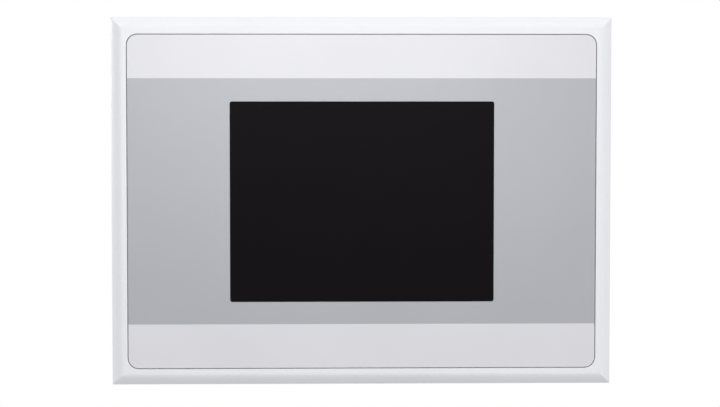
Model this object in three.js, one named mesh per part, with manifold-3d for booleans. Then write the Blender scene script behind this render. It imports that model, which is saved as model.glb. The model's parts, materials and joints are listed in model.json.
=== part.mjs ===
// A 3.5-inch operator panel for the front sheet of a control cabinet, in millimetres.
// The front faces -Y, +X is right and +Z is up. The origin is the middle of the plane where the
// frame's flange meets the cabinet's sheet: the frame stands in front of it, the housing behind.
import * as THREE from "three";
import { mergeVertices } from "three/addons/utils/BufferGeometryUtils.js";
import Module from "manifold-3d";

const wasm = await Module();
wasm.setup();

// ---- Driving dimensions ------------------------------------------------------------------
const FRAME = { width: 136, height: 100, proud: 5, edge: 1.3, slope: 3.35, rimX: 1.1, rimZ: 1.3 };
const FLANGE = { overhang: 6.5, cutoutPlay: 0.75 };
const COLLAR = { depth: 3 };
const FOIL = { thickness: 0.3, setback: 0.05, corner: 2.75, gap: 0.25 };
const GLUE = { thickness: 0.1 };
const WINDOW = { width: 71.6, height: 54.3, corner: 0.7 };
const TOUCH = { film: 0.2, glass: 1.1, borderX: 2.7, borderZ: 3.85, play: 0.3 };
const WEB = { thickness: 1, lip: 1 };
const FOAM = { thickness: 0.5, inset: 0.8 };
const DISPLAY = { borderX: 2.7, borderZ: 4.85, depth: 3.6, sheet: 0.3, lip: 0.45, glass: 1.4, strip: 1.9 };
const TAIL = { thickness: 0.15, touchWidth: 8, displayWidth: 30, touchX: 28 };
const SEAL = { width: 2.1, height: 1.6, inset: 1.1, groove: 0.95, play: 0.15, corner: 3 };
const HOUSING = { depth: 25, wall: 2, corner: 2 };
const BAY = { halfWidth: 48, height: 8 };
const BOARD = { thickness: 1.6, gap: 5, edgePlay: 0.75, notchPlay: 0.5 };
const LONG_SCREW = { radius: 1.5, headRadius: 2.75, headHeight: 2.2, sink: 3, inset: 4.2, bite: 6.6 };
const TUBE = { radius: 4.5, bore: 1.75 };
const POST = { radius: 3.5 };
const LABEL = { width: 60, height: 32, thickness: 0.2, recess: 0.3, margin: 0.3 };
const VENT = { width: 2.2, pitch: 5, topCount: 15, rearCount: 13, topLength: 11, rearLength: 12 };
const PLUG = { poles: 3, pitch: 5.08, wall: 1, play: 0.2, engage: 8.5, shroud: 8.6, depth: 11, drop: 11 };
const HEADER = { depth: 12, well: 9.2, pin: 1, pinLength: 7.5, socket: 1.7 };
const TERMINAL = { radius: 1.6, well: 1.9, drop: 6.5, y0: 5.2, y1: 8.6 };
const NETWORK = { x: -19, width: 16, height: 13.5, depth: 21, mouthW: 11.8, mouthH: 8.2, latch: 6 };
const USB_A = { x: -2, width: 13.2, height: 5.9, depth: 14, lift: 0.5, tongueW: 11.1, tongueH: 1.9 };
const USB_MINI = { x: 11.5, width: 7.7, height: 4, depth: 9.2, lift: 0.3, tongueW: 5.4, tongueH: 0.9 };
const USB_SHEET = 0.4;
const SERIAL = { x: 32, width: 30.8, height: 12.4, shellW: 16.9, shellH: 8.4, flange: 0.8, drop: 5.6 };
const SERIAL_PINS = { sheet: 0.5, pitch: 2.77, rowPitch: 2.84, radius: 0.5, length: 4.9 };
const JACKSCREW = { pitch: 25, across: 4.75, length: 5, stud: 1.35, bore: 1.2, hole: 1.7 };
const POWER_X = -38; // middle of the power plug
const SOCKET_PROUD = 0.5; // how far the data sockets stand out of the bay's roof
const CARD_SOCKET = { lift: 0.7, side: 1.9, roof: 0.4, endWall: 0.6, mouth: 5.2 };
const CARD = { width: 24, length: 32, thickness: 2.1, corner: 4, proud: 1, play: 0.2 };
const BUTTON = { radius: 1.6, travel: 0.6, switchSize: 6 };
const CLAMP = { height: 27, thread: 2, headRadius: 3, footRadius: 3.2, footDepth: 2.4, travel: 4.5 };
const BRACKET = { front: 10.5, depth: 6, outer: 6.9, height: 12, screwOut: 3.65 };
const CHEEK = { width: 1.8, depth: 4.6 };
const HOOK = { height: 6, y0: 11.7, slot: 4, tab: 1.8, lip: 1.8, lipDepth: 1.5, play: 0.3 };
const SHEET_MAX = 5; // the thickest cabinet sheet the clamps take
const JOINT = 0.05; // gap between faces that are pressed together
const LAYER = 0.02; // gap between laminated layers
const FIT = 0.3; // gap between a piece and its seat

// ---- Places worked out from them ---------------------------------------------------------
const halfW = FRAME.width / 2;
const halfH = FRAME.height / 2;
const foilHalfW = halfW - FRAME.slope - FRAME.rimX - FOIL.gap;
const foilHalfH = halfH - FRAME.slope - FRAME.rimZ - FOIL.gap;
const outW = halfW - FLANGE.overhang - FLANGE.cutoutPlay;
const outH = halfH - FLANGE.overhang - FLANGE.cutoutPlay;
const inW = outW - HOUSING.wall;
const inH = outH - HOUSING.wall;
const touchHalfW = WINDOW.width / 2 + TOUCH.borderX;
const touchHalfH = WINDOW.height / 2 + TOUCH.borderZ;
const displayHalfW = WINDOW.width / 2 + DISPLAY.borderX;
const displayHalfH = WINDOW.height / 2 + DISPLAY.borderZ;
const yFoil = -FRAME.proud + FOIL.setback;
const yGlue = yFoil + FOIL.thickness + LAYER;
const yShelf = yGlue + GLUE.thickness + LAYER;
const yGlass = yShelf + TOUCH.film + LAYER;
const yWeb = yGlass + TOUCH.glass + LAYER;
const yWebBack = yWeb + WEB.thickness;
const yDisplay = yWebBack + FOAM.thickness + 2 * LAYER;
const yDisplayBack = yDisplay + DISPLAY.depth;
const yBoard = yDisplayBack + BOARD.gap;
const yParts = yBoard + BOARD.thickness + JOINT; // where pieces stand on the board
const yHousingIn = HOUSING.depth - HOUSING.wall;
const yBay = yBoard + BOARD.thickness; // rear face of the bay's front wall
const zRoof = -outH + BAY.height; // outer face of the connector bay's roof
const zRoofIn = zRoof + HOUSING.wall;
const screwX = inW - LONG_SCREW.inset;
const screwZ = inH - LONG_SCREW.inset;
const plugWidth = PLUG.poles * PLUG.pitch;
const headerWidth = plugWidth + 2 * PLUG.wall;
const cardX = -outW - CARD.proud;
const cardY = yParts + CARD_SOCKET.lift + CARD.play;
const buttonY = yParts + BUTTON.switchSize / 2;
const switchFace = inW - 1.6;
const bracketBack = BRACKET.front + BRACKET.depth;
const footFront = SHEET_MAX + 1;
const footBack = footFront + CLAMP.footDepth;

// ---- Shapes ------------------------------------------------------------------------------
const box = (x0, x1, y0, y1, z0, z1) =>
  new THREE.BoxGeometry(x1 - x0, y1 - y0, z1 - z0).translate((x0 + x1) / 2, (y0 + y1) / 2, (z0 + z1) / 2);

// A block centred on x and z.
const block = (w, y0, y1, h, x = 0, z = 0) => box(x - w / 2, x + w / 2, y0, y1, z - h / 2, z + h / 2);

const rodY = (r, y0, y1, x = 0, z = 0, sides = 20) =>
  new THREE.CylinderGeometry(r, r, y1 - y0, sides).translate(x, (y0 + y1) / 2, z);

const rodZ = (r, z0, z1, x = 0, y = 0, sides = 20) =>
  new THREE.CylinderGeometry(r, r, z1 - z0, sides).rotateX(Math.PI / 2).translate(x, y, (z0 + z1) / 2);

const rodX = (r, x0, x1, y = 0, z = 0, sides = 20) =>
  new THREE.CylinderGeometry(r, r, x1 - x0, sides).rotateZ(Math.PI / 2).translate((x0 + x1) / 2, y, z);

// A rectangle with round corners, as a three.js shape in its own x and y.
function roundRect(halfX, halfY, r) {
  const s = new THREE.Shape();
  s.moveTo(halfX, -halfY + r);
  s.lineTo(halfX, halfY - r);
  s.absarc(halfX - r, halfY - r, r, 0, Math.PI / 2);
  s.lineTo(-halfX + r, halfY);
  s.absarc(-halfX + r, halfY - r, r, Math.PI / 2, Math.PI);
  s.lineTo(-halfX, -halfY + r);
  s.absarc(-halfX + r, -halfY + r, r, Math.PI, Math.PI * 1.5);
  s.lineTo(halfX - r, -halfY);
  s.absarc(halfX - r, -halfY + r, r, Math.PI * 1.5, Math.PI * 2);
  return s;
}

// A shape drawn in x and z, made solid from y0 to y1.
const slab = (shape, y0, y1) =>
  new THREE.ExtrudeGeometry(shape, { depth: y1 - y0, bevelEnabled: false, curveSegments: 4 })
    .rotateX(Math.PI / 2)
    .translate(0, y1, 0);

// A shape drawn in x and y, made solid from z0 to z1.
const slabZ = (shape, z0, z1) =>
  new THREE.ExtrudeGeometry(shape, { depth: z1 - z0, bevelEnabled: false }).translate(0, 0, z0);

const roundSlab = (halfX, halfZ, r, y0, y1) => slab(roundRect(halfX, halfZ, r), y0, y1);

const polygon = (points) => new THREE.Shape(points.map(([x, y]) => new THREE.Vector2(x, y)));

// A flat strip of constant thickness along a bent line in y and z, as wide as a flat cable in x.
function strip(line, thickness, width, x) {
  const side = (sign) =>
    line.map(([y, z], i) => {
      const [y0, z0] = line[Math.max(i - 1, 0)];
      const [y1, z1] = line[Math.min(i + 1, line.length - 1)];
      const length = Math.hypot(y1 - y0, z1 - z0);
      const k = (sign * thickness) / 2 / length;
      return [y + k * (z1 - z0), z - k * (y1 - y0)];
    });
  const outline = polygon([...side(1), ...side(-1).reverse()]);
  // drawn in (y, z) and extruded along x
  const turn = new THREE.Matrix4().set(0, 0, 1, x - width / 2, 1, 0, 0, 0, 0, 1, 0, 0, 0, 0, 0, 1);
  return new THREE.ExtrudeGeometry(outline, { depth: width, bevelEnabled: false }).applyMatrix4(turn);
}

// Rectangles one behind the other, each [half width, half height, y], joined into one solid.
function stack(levels) {
  const points = [];
  const faces = [];
  for (const [a, b, y] of levels) points.push(-a, y, -b, a, y, -b, a, y, b, -a, y, b);
  for (let i = 0; i + 1 < levels.length; i++)
    for (let k = 0; k < 4; k++) {
      const [a, b] = [4 * i + k, 4 * i + ((k + 1) % 4)];
      faces.push(a, b + 4, b, a, a + 4, b + 4);
    }
  const last = 4 * (levels.length - 1);
  faces.push(0, 1, 2, 0, 2, 3, last, last + 2, last + 1, last, last + 3, last + 2);
  return new THREE.BufferGeometry()
    .setAttribute("position", new THREE.Float32BufferAttribute(points, 3))
    .setIndex(faces);
}

function toSolid(geometry) {
  const bare = geometry.clone();
  bare.deleteAttribute("normal");
  bare.deleteAttribute("uv");
  const merged = mergeVertices(bare, 1e-4);
  return new wasm.Manifold(
    new wasm.Mesh({
      numProp: 3,
      vertProperties: new Float32Array(merged.attributes.position.array),
      triVerts: new Uint32Array(merged.index.array),
    }),
  );
}

function toGeometry(solid) {
  const { vertProperties, triVerts } = solid.getMesh();
  return new THREE.BufferGeometry()
    .setAttribute("position", new THREE.BufferAttribute(vertProperties, 3))
    .setIndex(new THREE.BufferAttribute(triVerts, 1));
}

const join = (...gs) => toGeometry(gs.map(toSolid).reduce((a, b) => a.add(b)));
const cut = (g, ...holes) => toGeometry(holes.map(toSolid).reduce((a, b) => a.subtract(b), toSolid(g)));

const finishes = {
  paleFrame: [0xe6e7ea, 0.5, 0],
  overlay: [0xc8cacd, 0.35, 0],
  darkFilm: [0x161618, 0.2, 0],
  glass: [0x9fb0ac, 0.1, 0],
  foam: [0x2a2a2a, 0.95, 0],
  steel: [0xb8babd, 0.35, 1],
  brightMetal: [0xd0d0d2, 0.25, 1],
  polyimide: [0xa8641c, 0.4, 0],
  seal: [0x202122, 0.85, 0],
  housing: [0x8d9093, 0.6, 0],
  label: [0xe9e9e6, 0.5, 0],
  board: [0x1f5b34, 0.45, 0],
  chip: [0x1b1b1d, 0.5, 0],
  aluminium: [0xbfc2c6, 0.45, 1],
  green: [0x2f8f4e, 0.5, 0],
  white: [0xe8e8e4, 0.5, 0],
};

function part(name, geometry, finish, position = [0, 0, 0]) {
  const [color, roughness, metalness] = finishes[finish];
  const mesh = new THREE.Mesh(geometry, new THREE.MeshStandardMaterial({ color, roughness, metalness }));
  mesh.name = name;
  mesh.position.set(...position);
  return mesh;
}

function group(...children) {
  const g = new THREE.Group();
  g.add(...children);
  return g;
}

// Calls make(x, z, number) for the four corners at +-x and +-z.
const corners = (x, z, make) =>
  [[-x, z], [x, z], [-x, -z], [x, -z]].map(([cx, cz], i) => make(cx, cz, i + 1));

// ---- Front: frame, overlay, touch sensor, display, seal ----------------------------------
function frontFrame() {
  const front = -FRAME.proud;
  const bevelDepth = FRAME.proud - FRAME.edge;
  // the sloped border bulges a little, steeper outside than inside
  const bevel = [0, 0.28, 0.6, 1].map((t) => {
    const inset = FRAME.slope * t;
    return [halfW - inset, halfH - inset, -FRAME.edge - bevelDepth * Math.sin((t * Math.PI) / 2) ** 0.85];
  });
  const border = stack([...bevel.reverse(), [halfW, halfH, 0]]);
  const collar = roundSlab(outW, outH, HOUSING.corner, -FRAME.edge, COLLAR.depth);
  const [recessW, recessH] = [foilHalfW + FOIL.gap, foilHalfH + FOIL.gap];
  const recess = roundSlab(recessW, recessH, FOIL.corner + FOIL.gap, front - 1, yShelf);
  const pocket = block(2 * (touchHalfW + TOUCH.play), yShelf - 1, yWeb, 2 * (touchHalfH + TOUCH.play));
  const opening = block(WINDOW.width + 2 * WEB.lip, yWeb - 1, yWebBack + 1, WINDOW.height + 2 * WEB.lip);
  const cavity = roundSlab(inW, inH, HOUSING.corner, yWebBack, COLLAR.depth + 1);
  const tailSlot = block(
    TAIL.touchWidth + 2 * FIT,
    yShelf - 1,
    yWebBack + 1,
    2.6,
    TAIL.touchX,
    -touchHalfH - 1.2,
  );
  const [grooveW, grooveH] = [outW + SEAL.inset - SEAL.play, outH + SEAL.inset - SEAL.play];
  const across = SEAL.width + 2 * SEAL.play;
  const groove = cut(
    roundSlab(grooveW + across, grooveH + across, SEAL.corner + SEAL.width, -SEAL.groove - JOINT, 1),
    roundSlab(grooveW, grooveH, SEAL.corner, -SEAL.groove - 1, 2),
  );
  const posts = corners(screwX, screwZ, (x, z) => rodY(POST.radius, yWebBack - 0.2, yBoard - JOINT, x, z));
  const bores = corners(screwX, screwZ, (x, z) =>
    rodY(LONG_SCREW.radius + 0.1, yBoard - LONG_SCREW.bite - FIT, yBoard + 1, x, z),
  );
  const shell = cut(join(border, collar), recess, pocket, opening, cavity, tailSlot, groove);
  return cut(join(shell, ...posts), ...bores);
}

const windowHole = (y0, y1) => roundSlab(WINDOW.width / 2, WINDOW.height / 2, WINDOW.corner, y0, y1);

const frontFoil = () => roundSlab(foilHalfW, foilHalfH, FOIL.corner, 0, FOIL.thickness);

const glueSheet = () =>
  cut(roundSlab(foilHalfW, foilHalfH, FOIL.corner, 0, GLUE.thickness), windowHole(-1, 1));

const panelSeal = () => {
  const [w, h] = [outW + SEAL.inset, outH + SEAL.inset];
  return cut(
    roundSlab(w + SEAL.width, h + SEAL.width, SEAL.corner + SEAL.width, 0, SEAL.height),
    roundSlab(w, h, SEAL.corner, -1, SEAL.height + 1),
  );
};

const displayFoam = () =>
  cut(
    block(2 * displayHalfW - FOAM.inset, 0, FOAM.thickness, 2 * displayHalfH - FOAM.inset),
    block(WINDOW.width + 2 * WEB.lip, -1, 1, WINDOW.height + 2 * WEB.lip),
  );

const displayFrame = () =>
  cut(
    block(2 * displayHalfW, 0, DISPLAY.depth, 2 * displayHalfH),
    block(
      2 * (displayHalfW - DISPLAY.sheet),
      DISPLAY.sheet,
      DISPLAY.depth + 1,
      2 * (displayHalfH - DISPLAY.sheet),
    ),
    block(WINDOW.width + 2 * DISPLAY.lip, -1, 1, WINDOW.height + 2 * DISPLAY.lip),
  );

// Inside the pressed frame: glass in front, the light guide behind it, the strip of diodes below.
function displayInner() {
  const halfX = displayHalfW - DISPLAY.sheet - LAYER * 5;
  const halfZ = displayHalfH - DISPLAY.sheet - LAYER * 5;
  const yLcd = DISPLAY.sheet + LAYER;
  const yGuide = yLcd + DISPLAY.glass + LAYER;
  const back = DISPLAY.depth - DISPLAY.sheet;
  const split = -halfZ + DISPLAY.strip;
  return group(
    part("lcd_glass", box(-halfX, halfX, yLcd, yLcd + DISPLAY.glass, -halfZ, halfZ), "glass"),
    part("light_guide", box(-halfX, halfX, yGuide, back, split + FIT, halfZ), "white"),
    part("backlight_strip", box(-halfX, halfX, yGuide, back, -halfZ, split), "board"),
  );
}

function touchTail() {
  const z = -touchHalfH - 1.1;
  const yEnd = yBoard - FIT;
  const line = [
    [yGlass + 0.3, z + 0.8],
    [yGlass + 0.4, z + 0.2],
    [yGlass + 0.9, z],
    [yEnd - 2.4, z],
    [yEnd - 0.8, z + 0.7],
    [yEnd, z + 2.4],
    [yEnd, z + 8],
  ];
  return strip(line, TAIL.thickness, TAIL.touchWidth, TAIL.touchX);
}

function displayTail() {
  const [yStart, yEnd] = [yDisplayBack + FIT, yBoard - FIT];
  const zFold = -displayHalfH + 6;
  const bend = Array.from({ length: 7 }, (_, i) => {
    const a = (i / 6) * Math.PI;
    const r = (yEnd - yStart) / 2;
    return [yStart + r - r * Math.cos(a), zFold - r * Math.sin(a)];
  });
  return strip([[yStart, zFold + 11], ...bend, [yEnd, zFold + 6]], TAIL.thickness, TAIL.displayWidth, 0);
}

const front = group(
  part("front_frame", frontFrame(), "paleFrame"),
  part("front_foil", frontFoil(), "overlay", [0, yFoil, 0]),
  part("foil_adhesive", glueSheet(), "white", [0, yGlue, 0]),
  part("touch_film", block(2 * touchHalfW, 0, TOUCH.film, 2 * touchHalfH), "darkFilm", [0, yShelf, 0]),
  part("touch_glass", block(2 * touchHalfW, 0, TOUCH.glass, 2 * touchHalfH), "glass", [0, yGlass, 0]),
  part("touch_tail", touchTail(), "polyimide"),
  part("display_tail", displayTail(), "polyimide"),
  part("display_foam", displayFoam(), "foam", [0, yWebBack + LAYER, 0]),
  part("panel_seal", panelSeal(), "seal", [0, -SEAL.groove, 0]),
);

const display = group(part("lcd_frame", displayFrame(), "steel"), displayInner());
display.position.y = yDisplay;

// ---- Rear housing and its label ----------------------------------------------------------
// n whole steps apart, centred on nought.
const spread = (n) => Array.from({ length: n }, (_, i) => i - (n - 1) / 2);

function rearHousing() {
  const shape = (hx, hz, r, y0, y1) => roundSlab(hx, hz, r, y0, y1);
  const outside = shape(outW, outH, HOUSING.corner, COLLAR.depth + JOINT, HOUSING.depth);
  const bayHole = box(-BAY.halfWidth, BAY.halfWidth, yBay, HOUSING.depth + 1, -outH - 1, zRoof);
  const bayBlock = box(
    -BAY.halfWidth - HOUSING.wall,
    BAY.halfWidth + HOUSING.wall,
    yBay - HOUSING.wall,
    HOUSING.depth,
    -outH,
    zRoofIn,
  );
  const cavity = cut(shape(inW, inH, 1, COLLAR.depth - 1, yHousingIn), bayBlock);
  const tubes = corners(screwX, screwZ, (x, z) => rodY(TUBE.radius, yParts, yHousingIn + 0.5, x, z));
  const hollow = join(cut(outside, bayHole, cavity), ...tubes);
  const bores = corners(screwX, screwZ, (x, z) => rodY(TUBE.bore, COLLAR.depth, HOUSING.depth + 1, x, z));
  const sinks = corners(screwX, screwZ, (x, z) =>
    rodY(LONG_SCREW.headRadius + FIT, HOUSING.depth - LONG_SCREW.sink, HOUSING.depth + 1, x, z),
  );
  const yVent = (yParts + yHousingIn) / 2;
  const topVents = spread(VENT.topCount).map((i) =>
    box(
      i * VENT.pitch - VENT.width / 2,
      i * VENT.pitch + VENT.width / 2,
      yVent - VENT.topLength / 2,
      yVent + VENT.topLength / 2,
      inH - 1,
      outH + 1,
    ),
  );
  const zVent = (LABEL.height / 2 + inH) / 2;
  const rearVents = spread(VENT.rearCount).map((i) =>
    block(VENT.width, yHousingIn - 1, HOUSING.depth + 1, VENT.rearLength, i * VENT.pitch, zVent),
  );
  const labelHole = block(
    LABEL.width + 2 * LABEL.margin,
    HOUSING.depth - LABEL.recess,
    HOUSING.depth + 1,
    LABEL.height + 2 * LABEL.margin,
  );
  return cut(
    hollow,
    ...bores,
    ...sinks,
    ...topVents,
    ...rearVents,
    labelHole,
    ...connectorHoles(),
    cardSlot(),
    rodX(BUTTON.radius + 0.25, inW - 1, outW + 1, buttonY, 0),
    ...corners(outW, CLAMP.height, (x, z) => hookSlot(x, z)),
  );
}

// Holes in the bay's roof, each a little larger than what comes through it.
function connectorHoles() {
  const through = ({ x, width, height, lift = 0 }) =>
    box(
      x - width / 2 - FIT,
      x + width / 2 + FIT,
      yParts + lift - FIT,
      yParts + lift + height + FIT,
      zRoof - 1,
      zRoofIn + 1,
    );
  const power = { x: POWER_X, width: headerWidth, height: PLUG.shroud };
  const shell = {
    x: SERIAL.x,
    width: SERIAL.shellW,
    height: SERIAL.shellH,
    lift: (SERIAL.height - SERIAL.shellH) / 2,
  };
  const middle = yParts + SERIAL.height / 2;
  const screws = [-1, 1].map((side) =>
    rodZ(JACKSCREW.hole, zRoof - 1, zRoofIn + 1, SERIAL.x + (side * JACKSCREW.pitch) / 2, middle),
  );
  return [...[power, NETWORK, USB_A, USB_MINI, shell].map(through), ...screws];
}

// ---- Memory card and its socket, in the left side wall ------------------------------------
const cardSlot = () =>
  box(
    -outW - 1,
    -inW + 1,
    cardY - FIT,
    cardY + CARD.thickness + FIT,
    -CARD.width / 2 - FIT,
    CARD.width / 2 + FIT,
  );

function cardSocket() {
  const x0 = cardX + CARD_SOCKET.mouth;
  const x1 = cardX + CARD.length + FIT + CARD_SOCKET.endWall;
  const halfZ = CARD.width / 2 + CARD.play;
  const side = halfZ + CARD_SOCKET.side;
  const above = cardY + CARD.thickness + CARD.play;
  return cut(
    box(x0, x1, yParts, above + CARD_SOCKET.roof, -side, side),
    box(x0 - 1, x1 - CARD_SOCKET.endWall, cardY - CARD.play, above, -halfZ, halfZ),
  );
}

function memoryCard() {
  const [w, l, c] = [CARD.width / 2, CARD.length, CARD.corner];
  return slab(polygon([[0, -w], [l, -w], [l, w - c], [l - c, w], [0, w]]), 0, CARD.thickness);
}

// ---- Control button, in the right side wall -----------------------------------------------
const controlSwitch = () => {
  const half = BUTTON.switchSize / 2;
  const body = box(switchFace - 3.4, switchFace, yParts, yParts + BUTTON.switchSize, -half, half);
  // the plunger's well lets the cap's foot travel in
  return cut(body, rodX(BUTTON.radius + 0.65, switchFace - 1.2, switchFace + 1, buttonY, 0));
};

// The stem sits in the switch's well, and the cap ends flush with the wall outside.
const controlButton = () =>
  join(
    rodX(BUTTON.radius, switchFace - 0.4, outW - 0.2, 0, 0),
    rodX(BUTTON.radius + 0.45, switchFace - 0.4, switchFace + 0.8, 0, 0),
  );

// ---- Clamps: bracket hooked into the side wall, screw, pressure foot ----------------------
const hookSlot = (x, z) =>
  block(2 * (HOUSING.wall + 1), HOOK.y0, HOOK.y0 + HOOK.slot, HOOK.height + 2 * HOOK.play, x, z);

// Built against a wall at x = 0 that faces +X, with the screw's axis along y.
function bracket() {
  const [inner, outer, top] = [HOOK.play, BRACKET.outer, BRACKET.height / 2];
  const tabBack = HOOK.y0 + HOOK.slot - HOOK.play;
  const tabFront = tabBack - HOOK.tab;
  const behind = -HOUSING.wall - HOOK.play;
  const half = HOOK.height / 2;
  const nut = box(inner, outer, BRACKET.front, bracketBack, -top, top);
  const cheekBack = bracketBack + CHEEK.depth;
  const cheeks = [-top, top - CHEEK.width].map((z) =>
    box(inner, outer - 1.6, bracketBack - 0.5, cheekBack, z, z + CHEEK.width),
  );
  const tab = box(behind - HOOK.lipDepth, inner + 0.5, tabFront, tabBack, -half, half);
  const lip = box(behind - HOOK.lipDepth, behind, tabBack - 0.5, tabBack + HOOK.lip, -half, half);
  return cut(join(nut, ...cheeks, tab, lip), rodY(CLAMP.thread + 0.2, 0, 30, BRACKET.screwOut, 0));
}

const clampFoot = () =>
  cut(
    rodY(CLAMP.footRadius, footFront, footBack, 0, 0),
    rodY(CLAMP.thread - 0.4, footBack - 1.5, footBack + 1, 0, 0),
  );

function clampScrew() {
  const shoulder = footBack + FIT;
  const head = bracketBack + FIT + CLAMP.travel;
  const body = join(
    rodY(CLAMP.thread - 0.7, shoulder - 1.5, shoulder + 0.5, 0, 0, 16),
    rodY(CLAMP.thread, shoulder, head + 0.5, 0, 0, 16),
    rodY(CLAMP.headRadius, head, head + 2.6, 0, 0),
  );
  return cut(body, block(1, head + 1.4, head + 4, 3 * CLAMP.headRadius));
}

// One clamp of three pieces. The left-hand ones are the right-hand ones turned half round.
function clamp(x, z, number) {
  const screwAxis = [BRACKET.screwOut, 0, 0];
  const g = group(
    part(`clamp_bracket_${number}`, bracket(), "steel"),
    part(`clamp_foot_${number}`, clampFoot(), "seal", screwAxis),
    part(`clamp_screw_${number}`, clampScrew(), "brightMetal", screwAxis),
  );
  g.position.set(x, 0, z);
  g.rotation.y = x < 0 ? Math.PI : 0;
  return g;
}

const longScrew = () => {
  const seat = HOUSING.depth - LONG_SCREW.sink;
  return cut(
    join(
      rodY(LONG_SCREW.radius, yBoard - LONG_SCREW.bite, seat + 1, 0, 0, 12),
      rodY(LONG_SCREW.headRadius, seat + JOINT, seat + LONG_SCREW.headHeight, 0, 0, 16),
    ),
    block(0.8, seat + 1.1, seat + 4, 3.2),
    block(3.2, seat + 1.1, seat + 4, 0.8),
  );
};

const housing = group(
  part("rear_housing", rearHousing(), "housing"),
  part("rating_label", block(LABEL.width, 0, LABEL.thickness, LABEL.height), "label", [
    0,
    HOUSING.depth - LABEL.recess + LAYER,
    0,
  ]),
  ...corners(screwX, screwZ, (x, z, n) =>
    part(`housing_screw_${n}`, longScrew(), "brightMetal", [x, 0, z]),
  ),
);

// ---- Circuit board and what is soldered to it ----------------------------------------------
function mainBoard() {
  const [w, h] = [inW - BOARD.edgePlay, inH - BOARD.edgePlay];
  const [notchW, notchZ] = [BAY.halfWidth + HOUSING.wall + BOARD.notchPlay, zRoofIn + BOARD.notchPlay];
  const outline = polygon([
    [-w, -h], [-notchW, -h], [-notchW, notchZ], [notchW, notchZ], [notchW, -h], [w, -h], [w, h], [-w, h],
  ]);
  const holes = corners(screwX, screwZ, (x, z) => rodY(TUBE.bore, -1, BOARD.thickness + 1, x, z));
  return cut(slab(outline, 0, BOARD.thickness), ...holes);
}

const heatSpreader = () =>
  join(
    block(20, 0, 2, 20),
    ...spread(6).map((i) => block(1, 1.5, 8, 20, i * 3.8, 0)),
  );

const cellHolder = () =>
  cut(
    join(rodY(11.2, 0, 4.6, 0, 0, 32), block(7, 0, 4.6, 24.5)),
    rodY(10.3, 0.8, 6, 0, 0, 32),
    block(12, 3, 6, 30),
  );

const boardPieces = group(
  part("main_board", mainBoard(), "board", [0, yBoard - yParts, 0]),
  part("processor", block(17, 0, 1.4, 17), "chip", [-4, 0, 12]),
  part("heat_spreader", heatSpreader(), "aluminium", [-4, 1.4 + JOINT, 12]),
  part("memory_chip", block(8, 0, 1.1, 12), "chip", [15, 0, 12]),
  part("flash_chip", block(12, 0, 1.1, 18), "chip", [-22, 0, 27]),
  part("power_inductor", cut(block(12, 0, 6.5, 12), rodY(2.6, 6, 8)), "chip", [-43, 0, 25]),
  part("bulk_capacitor", rodY(4, 0, 10.4, 0, 0), "aluminium", [-32, 0, -18.5]),
  part("fuse", block(6, 0, 2.6, 2.6), "white", [-44, 0, -18.5]),
  part("cell_holder", cellHolder(), "chip", [36, 0, 14]),
  part("coin_cell", rodY(10, 0.8 + JOINT, 4, 0, 0, 32), "brightMetal", [36, 0, 14]),
  part("sounder", cut(rodY(4.8, 0, 5, 0, 0), rodY(1, 4, 6, 0, 0, 12)), "chip", [24, 0, -6]),
  part("ctrl_switch", controlSwitch(), "chip", [0, -yParts, 0]),
  part("ctrl_button", controlButton(), "seal", [0, buttonY - yParts, 0]),
  part("card_socket", cardSocket(), "brightMetal", [0, -yParts, 0]),
  part("memory_card", memoryCard(), "housing", [cardX, cardY - yParts, 0]),
);
boardPieces.position.y = yParts;

// ---- Connectors in the bay. Each is built with its mouth at z = 0 facing down, standing on
// y = 0, with its middle at x = 0.
function networkJack() {
  const { width, height, depth, mouthW, mouthH, latch } = NETWORK;
  const mouthY = 2.2;
  return cut(
    block(width, 0, height, depth, 0, depth / 2),
    box(-mouthW / 2, mouthW / 2, mouthY, mouthY + mouthH, -1, 13),
    box(-latch / 2, latch / 2, mouthY, mouthY + mouthH + 1.6, -1, 10),
  );
}

// A pressed metal tunnel with the contact tongue inside it.
function usbSocket({ width, height, depth, tongueW, tongueH }) {
  const tunnel = cut(
    block(width, 0, height, depth, 0, depth / 2),
    box(-width / 2 + USB_SHEET, width / 2 - USB_SHEET, USB_SHEET, height - USB_SHEET, -1, depth - 2),
  );
  const tongueY = height * 0.56 - tongueH / 2;
  return join(tunnel, box(-tongueW / 2, tongueW / 2, tongueY, tongueY + tongueH, 1.2, depth - 1));
}

// The D-shaped outline, its wide side towards -y.
function dShape(w, h) {
  const [a, b, lean, r] = [w / 2, h / 2, h * 0.09, 1];
  return polygon([
    [-a + lean + r, b], [-a + lean, b - r], [-a - lean, -b + r], [-a - lean + r, -b],
    [a + lean - r, -b], [a + lean, -b + r], [a - lean, b - r], [a - lean - r, b],
  ].reverse());
}

function serialShell() {
  const { width, height, shellW, shellH, flange, drop } = SERIAL;
  const middle = height / 2;
  const wall = 2 * SERIAL_PINS.sheet;
  const plate = block(width, 0, height, flange, 0, -flange / 2);
  const tube = slabZ(dShape(shellW, shellH), -flange - drop, 0).translate(0, middle, 0);
  const inside = slabZ(dShape(shellW - wall, shellH - wall), -20, 20).translate(0, middle, 0);
  const screwHoles = [-1, 1].map((s) => rodZ(JACKSCREW.hole, -5, 5, (s * JACKSCREW.pitch) / 2, middle));
  return cut(join(plate, tube), inside, ...screwHoles);
}

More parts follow.
